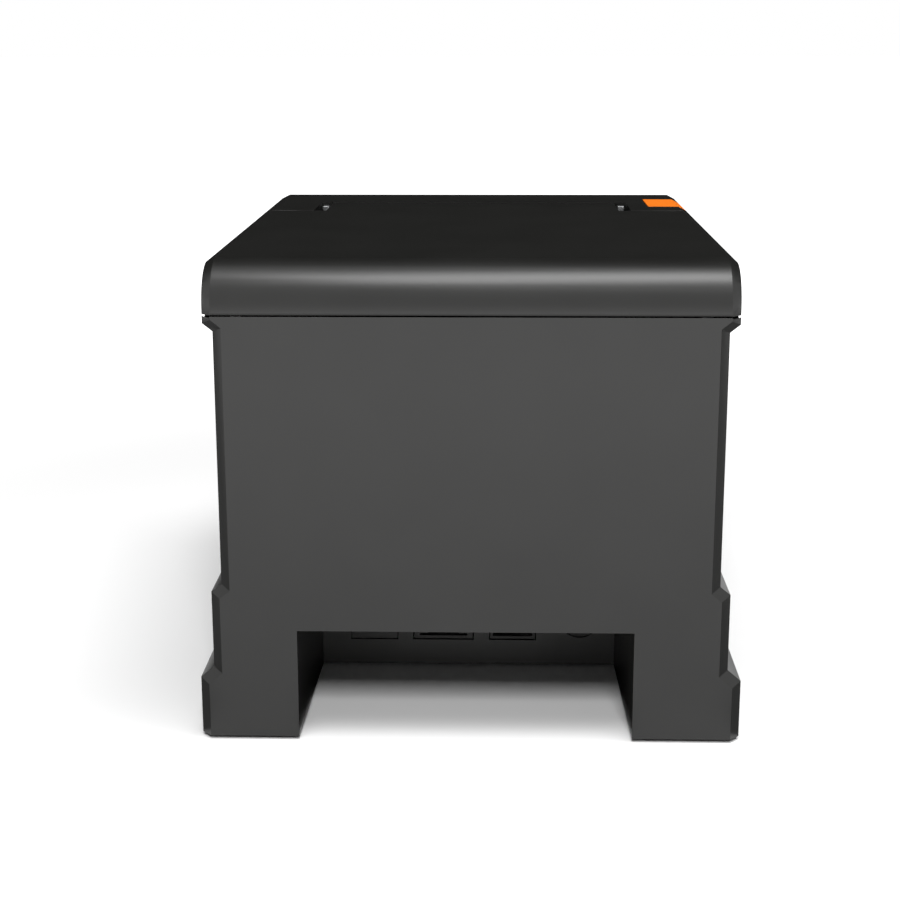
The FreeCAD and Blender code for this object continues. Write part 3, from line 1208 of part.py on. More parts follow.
def latch_tab_z():
    """Height of the top of the latch lever's tab."""
    return LATCH_PIVOT_Z + LATCH_TAB_HEIGHT


def release_key():
    """Key flush with the cover's top and side, with a stem on its spring and a leg over the latch tab."""
    space = key_window(0.0)
    hollow = cap_hollow(COVER_BACK - 1, DEPTH, 0.0, COVER_FRONT_RADIUS)
    cap = less(cover_outside().common(space), hollow)
    half = KEY_STEM_WIDTH / 2
    reach = KEY_STEM_LENGTH / 2
    stem = block(-KEY_STEM_X - half, -KEY_STEM_X + half, KEY_STEM_BACK - reach, KEY_STEM_BACK + reach,
                 KEY_STEM_BOTTOM_Z, HEIGHT - WALL / 2)
    leg = block(-KEY_STEM_X - half, -KEY_STEM_X + half, KEY_LEG_BACK, KEY_LEG_BACK + KEY_LEG_LENGTH,
                latch_tab_z() + MOVE_GAP, HEIGHT - WALL / 2)
    return joined(cap, stem, leg)


def release_spring():
    """Spring under the release key's stem."""
    spring = coil(KEY_STEM_BOTTOM_Z - KEY_SHELF_Z)
    spring.translate(FreeCAD.Vector(-KEY_STEM_X, across(KEY_STEM_BACK), KEY_SHELF_Z))
    return spring


def latch_lever():
    """Hooked lever beside the left cheek, pressed by the key's leg."""
    half = LATCH_BOSS_RADIUS
    arm_back = PLATEN_BACK + SHAFT_RADIUS + 2 * MOVE_GAP + LATCH_HOOK
    nose_z = PLATEN_Z + SHAFT_RADIUS + 2 * MOVE_GAP
    low_z = LATCH_PIVOT_Z
    tab_z = latch_tab_z()
    tab_end = KEY_LEG_BACK + KEY_LEG_LENGTH
    outline = [(LATCH_PIVOT_BACK, low_z - half), (arm_back + half, low_z - half), (tab_end, tab_z - half),
               (tab_end, tab_z), (arm_back + half, tab_z), (arm_back + half, nose_z + half),
               (PLATEN_BACK, nose_z + half), (PLATEN_BACK, nose_z), (arm_back, nose_z),
               (arm_back, low_z + half), (LATCH_PIVOT_BACK, low_z + half)]
    lever = plate_x(outline, -LATCH_OUT, -LATCH_IN)
    boss = rod_x(half, -LATCH_OUT, -LATCH_IN, LATCH_PIVOT_BACK, LATCH_PIVOT_Z)
    tab_x = -KEY_STEM_X - KEY_STEM_WIDTH / 2 - PATH_X
    tab = block(tab_x, -LATCH_IN, KEY_LEG_BACK, tab_end, tab_z - LATCH_THICKNESS, tab_z)
    bore = rod_x(LATCH_PIN_RADIUS + RUNNING_GAP, -LATCH_OUT, -LATCH_IN, LATCH_PIVOT_BACK, LATCH_PIVOT_Z)
    return less(joined(lever, boss, tab), bore)


def latch_pin():
    """Headed pin of the latch lever in the left cheek."""
    end = -LATCH_OUT - MOVE_GAP
    pin = rod_x(LATCH_PIN_RADIUS, end, -CHEEK_IN, LATCH_PIVOT_BACK, LATCH_PIVOT_Z)
    head = rod_x(LATCH_PIN_RADIUS + PIN_HEAD, end - PIN_HEAD, end, LATCH_PIVOT_BACK, LATCH_PIVOT_Z)
    return joined(pin, head)


def chip(x, back, width, length, height):
    """Block-shaped part on the main board, placed by its middle."""
    return block(x - width / 2, x + width / 2, BOARD_BACK + back - length / 2, BOARD_BACK + back + length / 2,
                 BOARD_TOP_Z, BOARD_TOP_Z + height)


def main_board():
    """Main circuit board with a processor, a memory chip, a head connector and two capacitors on it."""
    half = BOARD_WIDTH / 2
    board = block(-half, half, BOARD_BACK, BOARD_BACK + BOARD_LENGTH, BOARD_Z, BOARD_TOP_Z)
    chips = [chip(PROCESSOR_X, PROCESSOR_BACK, PROCESSOR_SIZE, PROCESSOR_SIZE, CHIP_HEIGHT),
             chip(MEMORY_X, PROCESSOR_BACK, MEMORY_WIDTH, MEMORY_LENGTH, CHIP_HEIGHT),
             chip(HEADER_X, BOARD_LENGTH - HEADER_INSET, HEADER_WIDTH, HEADER_LENGTH, HEADER_HEIGHT)]
    for index in range(2):
        back = BOARD_BACK + CAPACITOR_BACK + index * CAPACITOR_SPACING
        chips.append(rod_z(CAPACITOR_RADIUS, CAPACITOR_X, back, BOARD_TOP_Z, BOARD_TOP_Z + CAPACITOR_HEIGHT))
    holes = [rod_z(SCREW_RADIUS + FIT_GAP, x, back, BOARD_Z, BOARD_TOP_Z) for x, back in board_holes()]
    return less(joined(board, *chips), *holes)


def buzzer():
    """Round sounder on the main board."""
    x = BOARD_WIDTH / 2 - 4 * STANDOFF_RADIUS
    back = BOARD_BACK + BOARD_LENGTH / 2
    top = BOARD_TOP_Z + BUZZER_HEIGHT
    can = rod_z(2 * STANDOFF_RADIUS, x, back, BOARD_TOP_Z, top)
    return less(can, rod_z(BUZZER_HOLE_RADIUS, x, back, top - BUZZER_HOLE_DEPTH, top))


def control_board():
    """Small board behind the front wall, with the feed switch on it and two posts to the wall."""
    half = CONTROL_WIDTH / 2
    tall = CONTROL_HEIGHT / 2
    face = CONTROL_BACK + BOARD_THICKNESS
    board = block(-half, half, CONTROL_BACK, face, CONTROL_Z - tall, CONTROL_Z + tall)
    reach = CONTROL_SWITCH_SIZE / 2
    switch_end = FRONT_INNER - FIT_GAP - BUTTON_FLANGE - BUTTON_TRAVEL - MOVE_GAP
    switch = block(BUTTON_X - reach, BUTTON_X + reach, face, switch_end, CONTROL_Z - reach, CONTROL_Z + reach)
    posts = []
    for x in (-half + CONTROL_POST_INSET, half - CONTROL_POST_INSET):
        posts.append(rod_y(CONTROL_POST_RADIUS, x, face, FRONT_INNER, CONTROL_Z))
    return joined(board, switch, *posts)


def feed_button():
    """Round button in the front wall, held by a flange behind it."""
    cap = rod_y(BUTTON_RADIUS, BUTTON_X, FRONT_INNER - FIT_GAP - BUTTON_FLANGE, DEPTH, CONTROL_Z)
    flange_end = FRONT_INNER - FIT_GAP
    flange = rod_y(BUTTON_RADIUS + BUTTON_FLANGE, BUTTON_X, flange_end - BUTTON_FLANGE, flange_end, CONTROL_Z)
    return joined(cap, flange)


def light_pipes():
    """Three clear rods that carry the board's lights to the front."""
    face = CONTROL_BACK + BOARD_THICKNESS
    return Part.makeCompound([rod_y(LIGHT_RADIUS, x, face, DEPTH, CONTROL_Z) for x in control_places()])


def power_switch_body():
    """Housing of the power switch in the front wall."""
    half = SWITCH_WIDTH / 2
    tall = SWITCH_HEIGHT / 2
    start = DEPTH - SWITCH_DEPTH
    box = block(SWITCH_X - half, SWITCH_X + half, start, DEPTH, SWITCH_Z - tall, SWITCH_Z + tall)
    wide = half + SWITCH_FLANGE
    high = tall + SWITCH_FLANGE
    flange = block(SWITCH_X - wide, SWITCH_X + wide, FRONT_INNER - SWITCH_FLANGE, FRONT_INNER,
                   SWITCH_Z - high, SWITCH_Z + high)
    inner = half - SWITCH_WALL
    room = tall - SWITCH_WALL
    hollow = block(SWITCH_X - inner, SWITCH_X + inner, start + SWITCH_FLOOR, DEPTH + 1,
                   SWITCH_Z - room, SWITCH_Z + room)
    reach = half - ROCKER_PIN_SEAT
    pin = rod_x(ROCKER_PIN_RADIUS, SWITCH_X - reach, SWITCH_X + reach, rocker_back(), SWITCH_Z)
    return joined(less(joined(box, flange), hollow), pin)


def rocker_back():
    """Depth of the power rocker's pin."""
    return DEPTH - ROCKER_DEPTH / 2 - MOVE_GAP


def power_rocker():
    """Rocker of the power switch, with a shallow dip across its face."""
    half = SWITCH_WIDTH / 2 - SWITCH_WALL - MOVE_GAP
    tall = SWITCH_HEIGHT / 2 - SWITCH_WALL - ROCKER_TILT_ROOM
    back = rocker_back()
    front = back + ROCKER_DEPTH / 2
    outline = [(back - ROCKER_DEPTH / 2, SWITCH_Z - tall), (front, SWITCH_Z - tall),
               (front - ROCKER_DIP, SWITCH_Z),
               (front, SWITCH_Z + tall), (back - ROCKER_DEPTH / 2, SWITCH_Z + tall)]
    body = plate_x(outline, SWITCH_X - half, SWITCH_X + half)
    return less(body, rod_x(ROCKER_PIN_RADIUS + RUNNING_GAP, SWITCH_X - half, SWITCH_X + half, back, SWITCH_Z))


CASE_PIECES = (
    lower_case, bottom_plate, base_screws, rubber_feet, lid_shell, front_cover, connector_panel, port_blank,
    lan_socket, usb_socket, power_socket, hinge_brackets, hinge_pins, paper_bucket, near_end_lever,
    near_end_pin,
    release_key, release_spring, main_board, board_screws, buzzer, control_board, feed_button, light_pipes,
    power_switch_body, power_rocker,
)

# Built round the middle of the paper path, which lies to one side of the case's middle
PATH_PIECES = (
    platen_frame, platen_bushes, platen_shaft, platen_roller, platen_gear, fixed_blade, mechanism_chassis,
    chassis_screws, motor_bracket, feed_motor, motor_pinion, idler_gear, idler_axle, print_head, head_heatsink,
    head_pivot_pin, head_springs, cutter_frame, moving_blade, cutter_motor, cutter_pinion, latch_lever,
    latch_pin,
)


def main():
    """Build and write every sub-part."""
    os.makedirs("parts", exist_ok=True)
    for piece in CASE_PIECES:
        save(piece.__name__, piece())
    for piece in PATH_PIECES:
        shape = piece()
        shape.translate(FreeCAD.Vector(PATH_X, 0, 0))
        save(piece.__name__, shape)


if __name__ == "__main__":
    main()
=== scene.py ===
"""Receipt printer in a plain studio: moulded finishes, softened edges, port contacts, lamps and camera."""

import json
import logging
import math
from dataclasses import dataclass
from enum import Enum
from typing import Optional

import bmesh
import bpy
from mathutils import Euler, Matrix, Vector


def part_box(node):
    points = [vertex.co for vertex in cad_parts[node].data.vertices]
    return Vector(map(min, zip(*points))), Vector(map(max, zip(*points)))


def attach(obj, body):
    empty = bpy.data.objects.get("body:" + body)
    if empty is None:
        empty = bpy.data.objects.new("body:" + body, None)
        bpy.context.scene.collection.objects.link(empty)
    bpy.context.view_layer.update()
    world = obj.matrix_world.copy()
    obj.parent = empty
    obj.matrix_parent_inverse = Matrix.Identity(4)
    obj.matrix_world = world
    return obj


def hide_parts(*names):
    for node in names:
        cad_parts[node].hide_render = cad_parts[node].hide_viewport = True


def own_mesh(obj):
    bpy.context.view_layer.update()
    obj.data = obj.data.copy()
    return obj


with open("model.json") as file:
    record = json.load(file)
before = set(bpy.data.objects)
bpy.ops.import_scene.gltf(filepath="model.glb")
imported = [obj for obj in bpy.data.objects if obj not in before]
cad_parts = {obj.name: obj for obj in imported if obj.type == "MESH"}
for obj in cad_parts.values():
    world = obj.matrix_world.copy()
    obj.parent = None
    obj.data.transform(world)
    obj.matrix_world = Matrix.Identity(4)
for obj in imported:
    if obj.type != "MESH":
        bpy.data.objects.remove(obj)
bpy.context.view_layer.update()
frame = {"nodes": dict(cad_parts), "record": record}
LOG = logging.getLogger("receipt_printer")
MM = 0.001


class Grain(Enum):
    """Direction in which a metal surface was worked."""

    ACROSS = (1.0, 0.04, 1.0)
    ALONG = (0.04, 1.0, 1.0)
    TURNED = (1.0, 0.04, 0.04)
    PLAIN = (1.0, 1.0, 1.0)


def linear(hex_colour: str) -> tuple[float, float, float, float]:
    """Turn an sRGB hex colour into linear light.

    Args:
        hex_colour: Six hex digits, with or without a leading hash.

    Returns:
        Linear red, green, blue and an alpha of one.
    """
    digits = hex_colour.lstrip("#")
    parts = [int(digits[i:i + 2], 16) / 255 for i in (0, 2, 4)]
    light = [c / 12.92 if c <= 0.04045 else ((c + 0.055) / 1.055) ** 2.4 for c in parts]
    return light[0], light[1], light[2], 1.0


def add(tree: bpy.types.NodeTree, kind: str, values: Optional[dict] = None,
        links: Optional[dict] = None, **settings: object) -> bpy.types.Node:
    """Add a node with its settings, input values and links.

    Args:
        tree: Node tree that takes the node.
        kind: Blender's type name of the node.
        values: Input name or index to its value.
        links: Input name or index to the output socket that feeds it.
        settings: Attributes of the node.

    Returns:
        The new node.
    """
    made = tree.nodes.new(kind)
    for key, value in settings.items():
        setattr(made, key, value)
    for key, value in (values or {}).items():
        made.inputs[key].default_value = value
    for key, socket in (links or {}).items():
        tree.links.new(socket, made.inputs[key])
    return made


def blank_material(name: str) -> tuple[bpy.types.Material, bpy.types.NodeTree, bpy.types.Node]:
    """Make an empty node material.

    Args:
        name: Name of the material.

    Returns:
        The material, its tree and its output node.
    """
    material = bpy.data.materials.new(name)
    material.use_nodes = True
    tree = material.node_tree
    tree.nodes.clear()
    return material, tree, add(tree, "ShaderNodeOutputMaterial")


@dataclass(frozen=True)
class MouldedFinish:
    """A moulded plastic or rubber: an even colour under a fine pitted skin from the mould."""

    name: str
    colour: str
    shade: str
    roughness: float
    specular: float
    grain_mm: float
    depth_mm: float
    cloud_mm: float = 22.0
    cloud_range: tuple[float, float] = (0.35, 0.65)
    spread: float = 0.05
    ior: float = 1.5

    def build(self) -> bpy.types.Material:
        """Build the material.

        Returns:
            The finished material.
        """
        material, tree, output = blank_material(self.name)
        place = add(tree, "ShaderNodeTexCoord").outputs["Object"]
        cloud = add(tree, "ShaderNodeTexNoise", {"Scale": 1 / (self.cloud_mm * MM), "Detail": 3.0},
                    {"Vector": place})
        ramp = add(tree, "ShaderNodeValToRGB", links={"Fac": cloud.outputs["Fac"]})
        for stop, at, tone in zip(ramp.color_ramp.elements, self.cloud_range, (self.shade, self.colour)):
            stop.position = at
            stop.color = linear(tone)
        pits = add(tree, "ShaderNodeTexNoise", {"Scale": 1 / (self.grain_mm * MM), "Detail": 2.0},
                   {"Vector": place})
        limits = {"To Min": self.roughness - self.spread, "To Max": self.roughness + self.spread}
        rough = add(tree, "ShaderNodeMapRange", limits, {"Value": pits.outputs["Fac"]})
        bump = add(tree, "ShaderNodeBump", {"Strength": 1.0, "Distance": self.depth_mm * MM},
                   {"Height": pits.outputs["Fac"]})
        shader = add(tree, "ShaderNodeBsdfPrincipled", {"IOR": self.ior, "Specular IOR Level": self.specular},
                     {"Base Color": ramp.outputs["Color"], "Roughness": rough.outputs["Result"],
                      "Normal": bump.outputs["Normal"]})
        tree.links.new(shader.outputs[0], output.inputs["Surface"])
        return material


@dataclass(frozen=True)
class MetalFinish:
    """A worked metal: fine lines along the way it was rolled, ground or turned."""

    name: str
    colour: str
    roughness: float
    line_mm: float
    grain: Grain
    line_depth_mm: float = 0.01
    spread: tuple[float, float] = (0.08, 0.1)

    def build(self) -> bpy.types.Material:
        """Build the material.

        Returns:
            The finished material.
        """
        material, tree, output = blank_material(self.name)
        place = add(tree, "ShaderNodeTexCoord").outputs["Object"]
        stretch = add(tree, "ShaderNodeMapping", {"Scale": self.grain.value}, {"Vector": place})
        lines = add(tree, "ShaderNodeTexNoise", {"Scale": 1 / (self.line_mm * MM), "Detail": 3.0},
                    {"Vector": stretch.outputs["Vector"]})
        limits = {"To Min": self.roughness - self.spread[0], "To Max": self.roughness + self.spread[1]}
        rough = add(tree, "ShaderNodeMapRange", limits, {"Value": lines.outputs["Fac"]})
        bump = add(tree, "ShaderNodeBump", {"Strength": 0.5, "Distance": self.line_depth_mm * MM},
                   {"Height": lines.outputs["Fac"]})
        shader = add(tree, "ShaderNodeBsdfPrincipled", {"Base Color": linear(self.colour), "Metallic": 1.0},
                     {"Roughness": rough.outputs["Result"], "Normal": bump.outputs["Normal"]})
        tree.links.new(shader.outputs[0], output.inputs["Surface"])
        return material


@dataclass(frozen=True)
class BoardFinish:
    """Solder mask over etched copper: a green skin, lighter where tracks run below it."""

    name: str
    mask: str
    track: str
    pitch_mm: float
    block_tracks: int = 8
    step_mm: float = 0.03

    def build(self) -> bpy.types.Material:
        """Build the material.

        Returns:
            The finished material.
        """
        material, tree, output = blank_material(self.name)
        place = add(tree, "ShaderNodeTexCoord").outputs["Object"]
        tracks = add(tree, "ShaderNodeTexBrick",
                     {"Color1": linear(self.mask), "Color2": linear(self.mask), "Mortar": linear(self.track),
                      "Scale": 1 / (self.block_tracks * self.pitch_mm * MM), "Mortar Size": 0.02,
                      "Row Height": 0.12, "Brick Width": 0.9}, {"Vector": place})
        bump = add(tree, "ShaderNodeBump", {"Strength": 0.6, "Distance": self.step_mm * MM},
                   {"Height": tracks.outputs["Fac"]})
        shader = add(tree, "ShaderNodeBsdfPrincipled", {"Roughness": 0.32, "IOR": 1.55},
                     {"Base Color": tracks.outputs["Color"], "Normal": bump.outputs["Normal"]})
        tree.links.new(shader.outputs[0], output.inputs["Surface"])
        return material


@dataclass(frozen=True)
class ClearFinish:
    """Clear acrylic: a polished light rod with a faint tint."""

    name: str
    tint: str
    haze_mm: float = 0.8
    roughness: tuple[float, float] = (0.08, 0.2)

    def build(self) -> bpy.types.Material:
        """Build the material.

        Returns:
            The finished material.
        """
        material, tree, output = blank_material(self.name)
        place = add(tree, "ShaderNodeTexCoord").outputs["Object"]
        haze = add(tree, "ShaderNodeTexNoise", {"Scale": 1 / (self.haze_mm * MM)}, {"Vector": place})
        limits = {"To Min": self.roughness[0], "To Max": self.roughness[1]}
        rough = add(tree, "ShaderNodeMapRange", limits, {"Value": haze.outputs["Fac"]})
        shader = add(tree, "ShaderNodeBsdfPrincipled",
                     {"Base Color": linear(self.tint), "IOR": 1.49, "Transmission Weight": 0.7},
                     {"Roughness": rough.outputs["Result"]})
        tree.links.new(shader.outputs[0], output.inputs["Surface"])
        return material


Finish = MouldedFinish | MetalFinish | BoardFinish | ClearFinish
Groups = tuple[tuple[Finish, float, tuple[str, ...]], ...]

# Spark-eroded ABS of the casing: near black, with a satin skin that takes up the pale room as dark grey
CASE_ABS = MouldedFinish("case_abs_spark_eroded", "#191918", "#161615", 0.34, 0.48, 0.45, 0.003)
# Port plate of the cable bay: the same plastic off a plain steel mould, a shade duller, with a much paler
# colour that is painted light lifting the plate out of the bay's shade
PLATE_ABS_PAINTED_LIGHT = MouldedFinish("port_plate_abs_painted_light", "#484847", "#434342", 0.45, 0.4, 0.6, 0.003)
# Polypropylene of the inner mouldings: dark grey and half dull
INNER_PP = MouldedFinish("inner_polypropylene", "#2A2A2A", "#262626", 0.5, 0.4, 1.2, 0.004)
# Bright orange ABS of the lid key: an even satin colour
KEY_ABS = MouldedFinish("key_abs_orange", "#EC7815", "#E57311", 0.5, 0.3, 0.6, 0.004)
# Black rubber of pads and platen: dull and soft
RUBBER = MouldedFinish("nitrile_rubber_moulded", "#1B1B1B", "#161616", 0.8, 0.3, 0.5, 0.01)
# Charcoal PBT of the sockets and the switch: slightly glossy
SOCKET_PBT = MouldedFinish("socket_pbt_charcoal", "#323231", "#2E2E2D", 0.4, 0.45, 0.6, 0.002)
# Natural acetal of the gears: milky and waxy
GEAR_ACETAL = MouldedFinish("gear_acetal_natural", "#E6E3D8", "#DEDACD", 0.38, 0.5, 0.8, 0.003)
# Glazed alumina of the print head: honey brown glass skin
HEAD_GLAZE = MouldedFinish("head_alumina_glazed", "#9A7B4F", "#8C6E45", 0.18, 0.6, 3.0, 0.001)
# Zinc-plated sheet: pale, with faint rolling lines
SHEET_ZINC = MetalFinish("sheet_steel_zinc", "#C9CBCC", 0.34, 0.35, Grain.ACROSS)
# Turned and drawn steel of pins, springs and screws: clean and bright, with fine lines
TURNED_STEEL = MetalFinish("turned_steel", "#C2C2C1", 0.26, 0.25, Grain.TURNED)
# Ground blade steel: bright with close lines
BLADE_STEEL = MetalFinish("blade_steel_ground", "#D8D8D8", 0.2, 0.2, Grain.ALONG)
# Sintered bronze of the bushes: warm and matt
BUSH_BRONZE = MetalFinish("bush_sintered_bronze", "#B58A4C", 0.42, 0.3, Grain.PLAIN)
# Phosphated steel of the motor cans: dark, with a dull sheen
MOTOR_CAN = MetalFinish("motor_can_phosphated", "#5C5D5F", 0.45, 0.5, Grain.PLAIN)
# Extruded aluminium of the heat sink: pale, with soft lines along it
HEATSINK_ALLOY = MetalFinish("heatsink_aluminium_extruded", "#DADBDC", 0.36, 0.3, Grain.ACROSS)
# Gold flash of the socket contacts: small warm glints
CONTACT_GOLD = MetalFinish("contact_gold_flash", "#D9B15A", 0.25, 0.2, Grain.PLAIN)
# Solder mask of the boards: dark green, with the tracks showing paler
BOARD_MASK = BoardFinish("board_solder_mask", "#0F4A2B", "#1C6A3E", 0.8)
# Clear acrylic of the light pipes: polished, with a slight haze
LIGHT_ACRYLIC = ClearFinish("light_pipe_acrylic", "#EEF3EE")


class Workshop:
    """Holds built materials and turns CAD nodes into softened pieces."""

    corner: float = math.radians(28)
    flat: float = math.radians(0.4)
    merge_mm: float = 0.002
    edge_segments: int = 2

    def __init__(self) -> None:
        """Start with no materials built."""
        self.materials: dict[str, bpy.types.Material] = {}
        self.node_body = {n: b for b, names in frame["record"]["behaviour"]["bodies"].items() for n in names}
        self.node_slot = {s["node"]: s["material_slot"] for s in frame["record"]["subparts"]}

    def material(self, finish: Finish) -> bpy.types.Material:
        """Give a finish's material, built once.

        Args:
            finish: Finish to build.

        Returns:
            Its material.
        """
        if finish.name not in self.materials:
            self.materials[finish.name] = finish.build()
        return self.materials[finish.name]

    def plain(self, obj: bpy.types.Object) -> bpy.types.Object:
        """Bake an object's modifiers into a plain mesh.

        Args:
            obj: Object with live modifiers.

        Returns:
            The same object with its final mesh and no modifiers.
        """
        bpy.context.view_layer.update()
        graph = bpy.context.evaluated_depsgraph_get()
        mesh = bpy.data.meshes.new_from_object(obj.evaluated_get(graph), depsgraph=graph)
        obj.modifiers.clear()
        old = obj.data
        obj.data = mesh
        bpy.data.meshes.remove(old)
        return obj

    def soften(self, node: str, finish: Finish, edge_mm: float,
               crisp_mm: Optional[tuple[float, float]] = None) -> bpy.types.Object:
        """Replace a CAD node by the same shape with broken edges and smooth shading.

        Args:
            node: Name of the CAD node.
            finish: Finish of the piece.
            edge_mm: Width of the broken edge, or zero for none.
            crisp_mm: Range of depth in which edges stay crisp, from the middle of the part.

        Returns:
            The new piece, riding on the node's body.
        """
        mesh = frame["nodes"][node].data.copy()
        work = bmesh.new()
        work.from_mesh(mesh)
        bmesh.ops.remove_doubles(work, verts=work.verts, dist=self.merge_mm * MM)
        bmesh.ops.dissolve_limit(work, angle_limit=self.flat, verts=work.verts, edges=work.edges)
        weight = work.edges.layers.float.new("bevel_weight_edge")
        low, high = crisp_mm or (1.0, 0.0)
        for edge in work.edges:
            depth = (edge.verts[0].co.y + edge.verts[1].co.y) / 2 / MM
            corner = len(edge.link_faces) == 2 and edge.calc_face_angle(0.0) > self.corner
            edge[weight] = 1.0 if corner and not low < depth < high else 0.0
        work.to_mesh(mesh)
        work.free()
        mesh.materials.clear()
        mesh.materials.append(self.material(finish))
        for face in mesh.polygons:
            face.material_index = 0
            face.use_smooth = True
        obj = bpy.data.objects.new("skin_" + node, mesh)
        bpy.context.scene.collection.objects.link(obj)
        if edge_mm:
            bevel = obj.modifiers.new("edge", "BEVEL")
            bevel.width = edge_mm * MM
            bevel.segments = self.edge_segments
            bevel.limit_method = "WEIGHT"
            bevel.harden_normals = True
        obj.data.set_sharp_from_angle(angle=self.corner)
        if edge_mm:
            self.plain(obj)
        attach(obj, self.node_body[node])
        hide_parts(node)
        LOG.info("%s: %d faces", obj.name, len(obj.data.polygons))
        return obj

    def dress(self, groups: Groups) -> None:
        """Soften groups of nodes.

        Args:
            groups: Finish, width of the broken edge in millimetres and nodes of each group.
        """
        for finish, edge_mm, nodes in groups:
            for node in nodes:
                self.soften(node, finish, edge_mm)


@dataclass
class Casing:
    """Case, lid, cover, key and the plates of the cable bay."""

    shop: Workshop
    cover_edge_mm: float = 0.3
    slot_mm: tuple[float, float] = (-76.0, -40.0)
    groups: Groups = ((CASE_ABS, 0.3, ("lower_case", "bottom_plate")),
                      # The port plate's paler colour is painted light against the shade of the bay
                      (PLATE_ABS_PAINTED_LIGHT, 0.1, ("connector_panel", "port_blank")),
                      (KEY_ABS, 0.3, ("release_key",)),
                      (RUBBER, 0.2, ("rubber_feet",)))

    def build(self) -> None:
        """Dress the outer mouldings; the joints round the paper slot stay crisp."""
        self.shop.dress(self.groups)
        for node in ("lid_shell", "front_cover"):
            self.shop.soften(node, CASE_ABS, self.cover_edge_mm, self.slot_mm)


@dataclass
class Ports:
    """Sockets in the cable bay with their contacts."""

    shop: Workshop
    groups: Groups = ((SOCKET_PBT, 0.15, ("lan_socket", "usb_socket", "power_socket")),)
    contact_mm: tuple[float, float, float] = (0.45, 7.0, 0.3)
    network_ways: int = 8
    network_pitch_mm: float = 1.27
    network_inset_mm: tuple[float, float, float] = (0, -7.0, -2.6)
    data_ways: int = 2
    data_pitch_mm: float = 2.5
    data_inset_mm: tuple[float, float, float] = (0, -6.0, -3.55)

    def contact_tree(self) -> bpy.types.NodeTree:
        """Build the tree that sets out a row of contacts.

        Returns:
            The geometry node tree.
        """
        tree = bpy.data.node_groups.new("contact_row", "GeometryNodeTree")
        sides = tree.interface
        for name, kind in (("Count", "NodeSocketInt"), ("Start", "NodeSocketVector"),
                           ("Pitch", "NodeSocketVector"), ("Size", "NodeSocketVector"),
                           ("Material", "NodeSocketMaterial")):
            sides.new_socket(name, in_out="INPUT", socket_type=kind)
        sides.new_socket("Geometry", in_out="OUTPUT", socket_type="NodeSocketGeometry")
        given = add(tree, "NodeGroupInput").outputs
        line = add(tree, "GeometryNodeMeshLine", mode="OFFSET", links={
            "Count": given["Count"], "Start Location": given["Start"], "Offset": given["Pitch"]})
        bar = add(tree, "GeometryNodeMeshCube", links={"Size": given["Size"]})
        row = add(tree, "GeometryNodeInstanceOnPoints", links={
            "Points": line.outputs["Mesh"], "Instance": bar.outputs["Mesh"]})
        real = add(tree, "GeometryNodeRealizeInstances", links={"Geometry": row.outputs["Instances"]})
        dressed = add(tree, "GeometryNodeSetMaterial", links={
            "Geometry": real.outputs["Geometry"], "Material": given["Material"]})
        add(tree, "NodeGroupOutput", links={"Geometry": dressed.outputs["Geometry"]})
        return tree

    def contacts(self, tree: bpy.types.NodeTree, name: str, middle: Vector, ways: int, pitch_mm: float) -> None:
        """Set a row of contacts into a socket.

        Args:
            tree: The contact row tree.
            name: Name of the piece.
            middle: Middle of the row.
            ways: Number of contacts.
            pitch_mm: Distance between contacts.
        """
        obj = bpy.data.objects.new(name, bpy.data.meshes.new(name))
        bpy.context.scene.collection.objects.link(obj)
        modifier = obj.modifiers.new("row", "NODES")
        modifier.node_group = tree
        start = middle - Vector(((ways - 1) * pitch_mm * MM / 2, 0, 0))
        given = {"Count": ways, "Start": start, "Pitch": Vector((pitch_mm * MM, 0, 0)),
                 "Size": Vector(self.contact_mm) * MM, "Material": self.shop.material(CONTACT_GOLD)}
        for item in tree.interface.items_tree:
            if item.in_out == "INPUT":
                modifier[item.identifier] = given[item.name]
        self.shop.plain(obj)
        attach(obj, "case")
        LOG.info("%s: %d contacts", name, ways)

    def build(self) -> None:
        """Dress the sockets and set their contacts."""
        self.shop.dress(self.groups)
        tree = self.contact_tree()
        rows = (
            ("network_contacts", "lan_socket", self.network_inset_mm,
             self.network_ways, self.network_pitch_mm),
            ("data_contacts", "usb_socket", self.data_inset_mm,
             self.data_ways, self.data_pitch_mm))
        for name, socket, inset_mm, ways, pitch_mm in rows:
            low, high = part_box(socket)
            middle = Vector(((low.x + high.x) / 2, high.y, high.z)) + Vector(inset_mm) * MM
            self.contacts(tree, name, middle, ways, pitch_mm)


@dataclass
class Mechanism:
    """Paper drive, print head, cutter, latch and bucket inside the casing."""

    shop: Workshop
    springs: tuple = (("head_springs", "head_pivot", (0, 1, 0), 0.88),
                      ("release_spring", "key_press", (0, 0, 1), 0.65))
    groups: Groups = (
        (SHEET_ZINC, 0.15, ("mechanism_chassis", "platen_frame", "motor_bracket", "cutter_frame",
                            "hinge_brackets")),
        (TURNED_STEEL, 0.1, ("platen_shaft", "hinge_pins", "near_end_pin", "idler_axle", "head_pivot_pin",
                             "latch_pin", "base_screws", "board_screws", "chassis_screws")),
        (BLADE_STEEL, 0.0, ("fixed_blade", "moving_blade")),
        (GEAR_ACETAL, 0.0, ("platen_gear", "idler_gear", "motor_pinion", "cutter_pinion")),
        (INNER_PP, 0.2, ("paper_bucket", "near_end_lever", "latch_lever")),
        (MOTOR_CAN, 0.3, ("feed_motor", "cutter_motor")),
        (RUBBER, 0.3, ("platen_roller",)),
        (BUSH_BRONZE, 0.1, ("platen_bushes",)),
        (HEAD_GLAZE, 0.1, ("print_head",)),
        (HEATSINK_ALLOY, 0.2, ("head_heatsink",)))

    def build(self) -> None:
        """Dress the inner pieces; each spring gets a mesh of its own."""
        self.shop.dress(self.groups)
        for node, joint, way, keep in self.springs:
            coil = self.shop.soften(node, TURNED_STEEL, 0.0)
            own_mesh(coil)


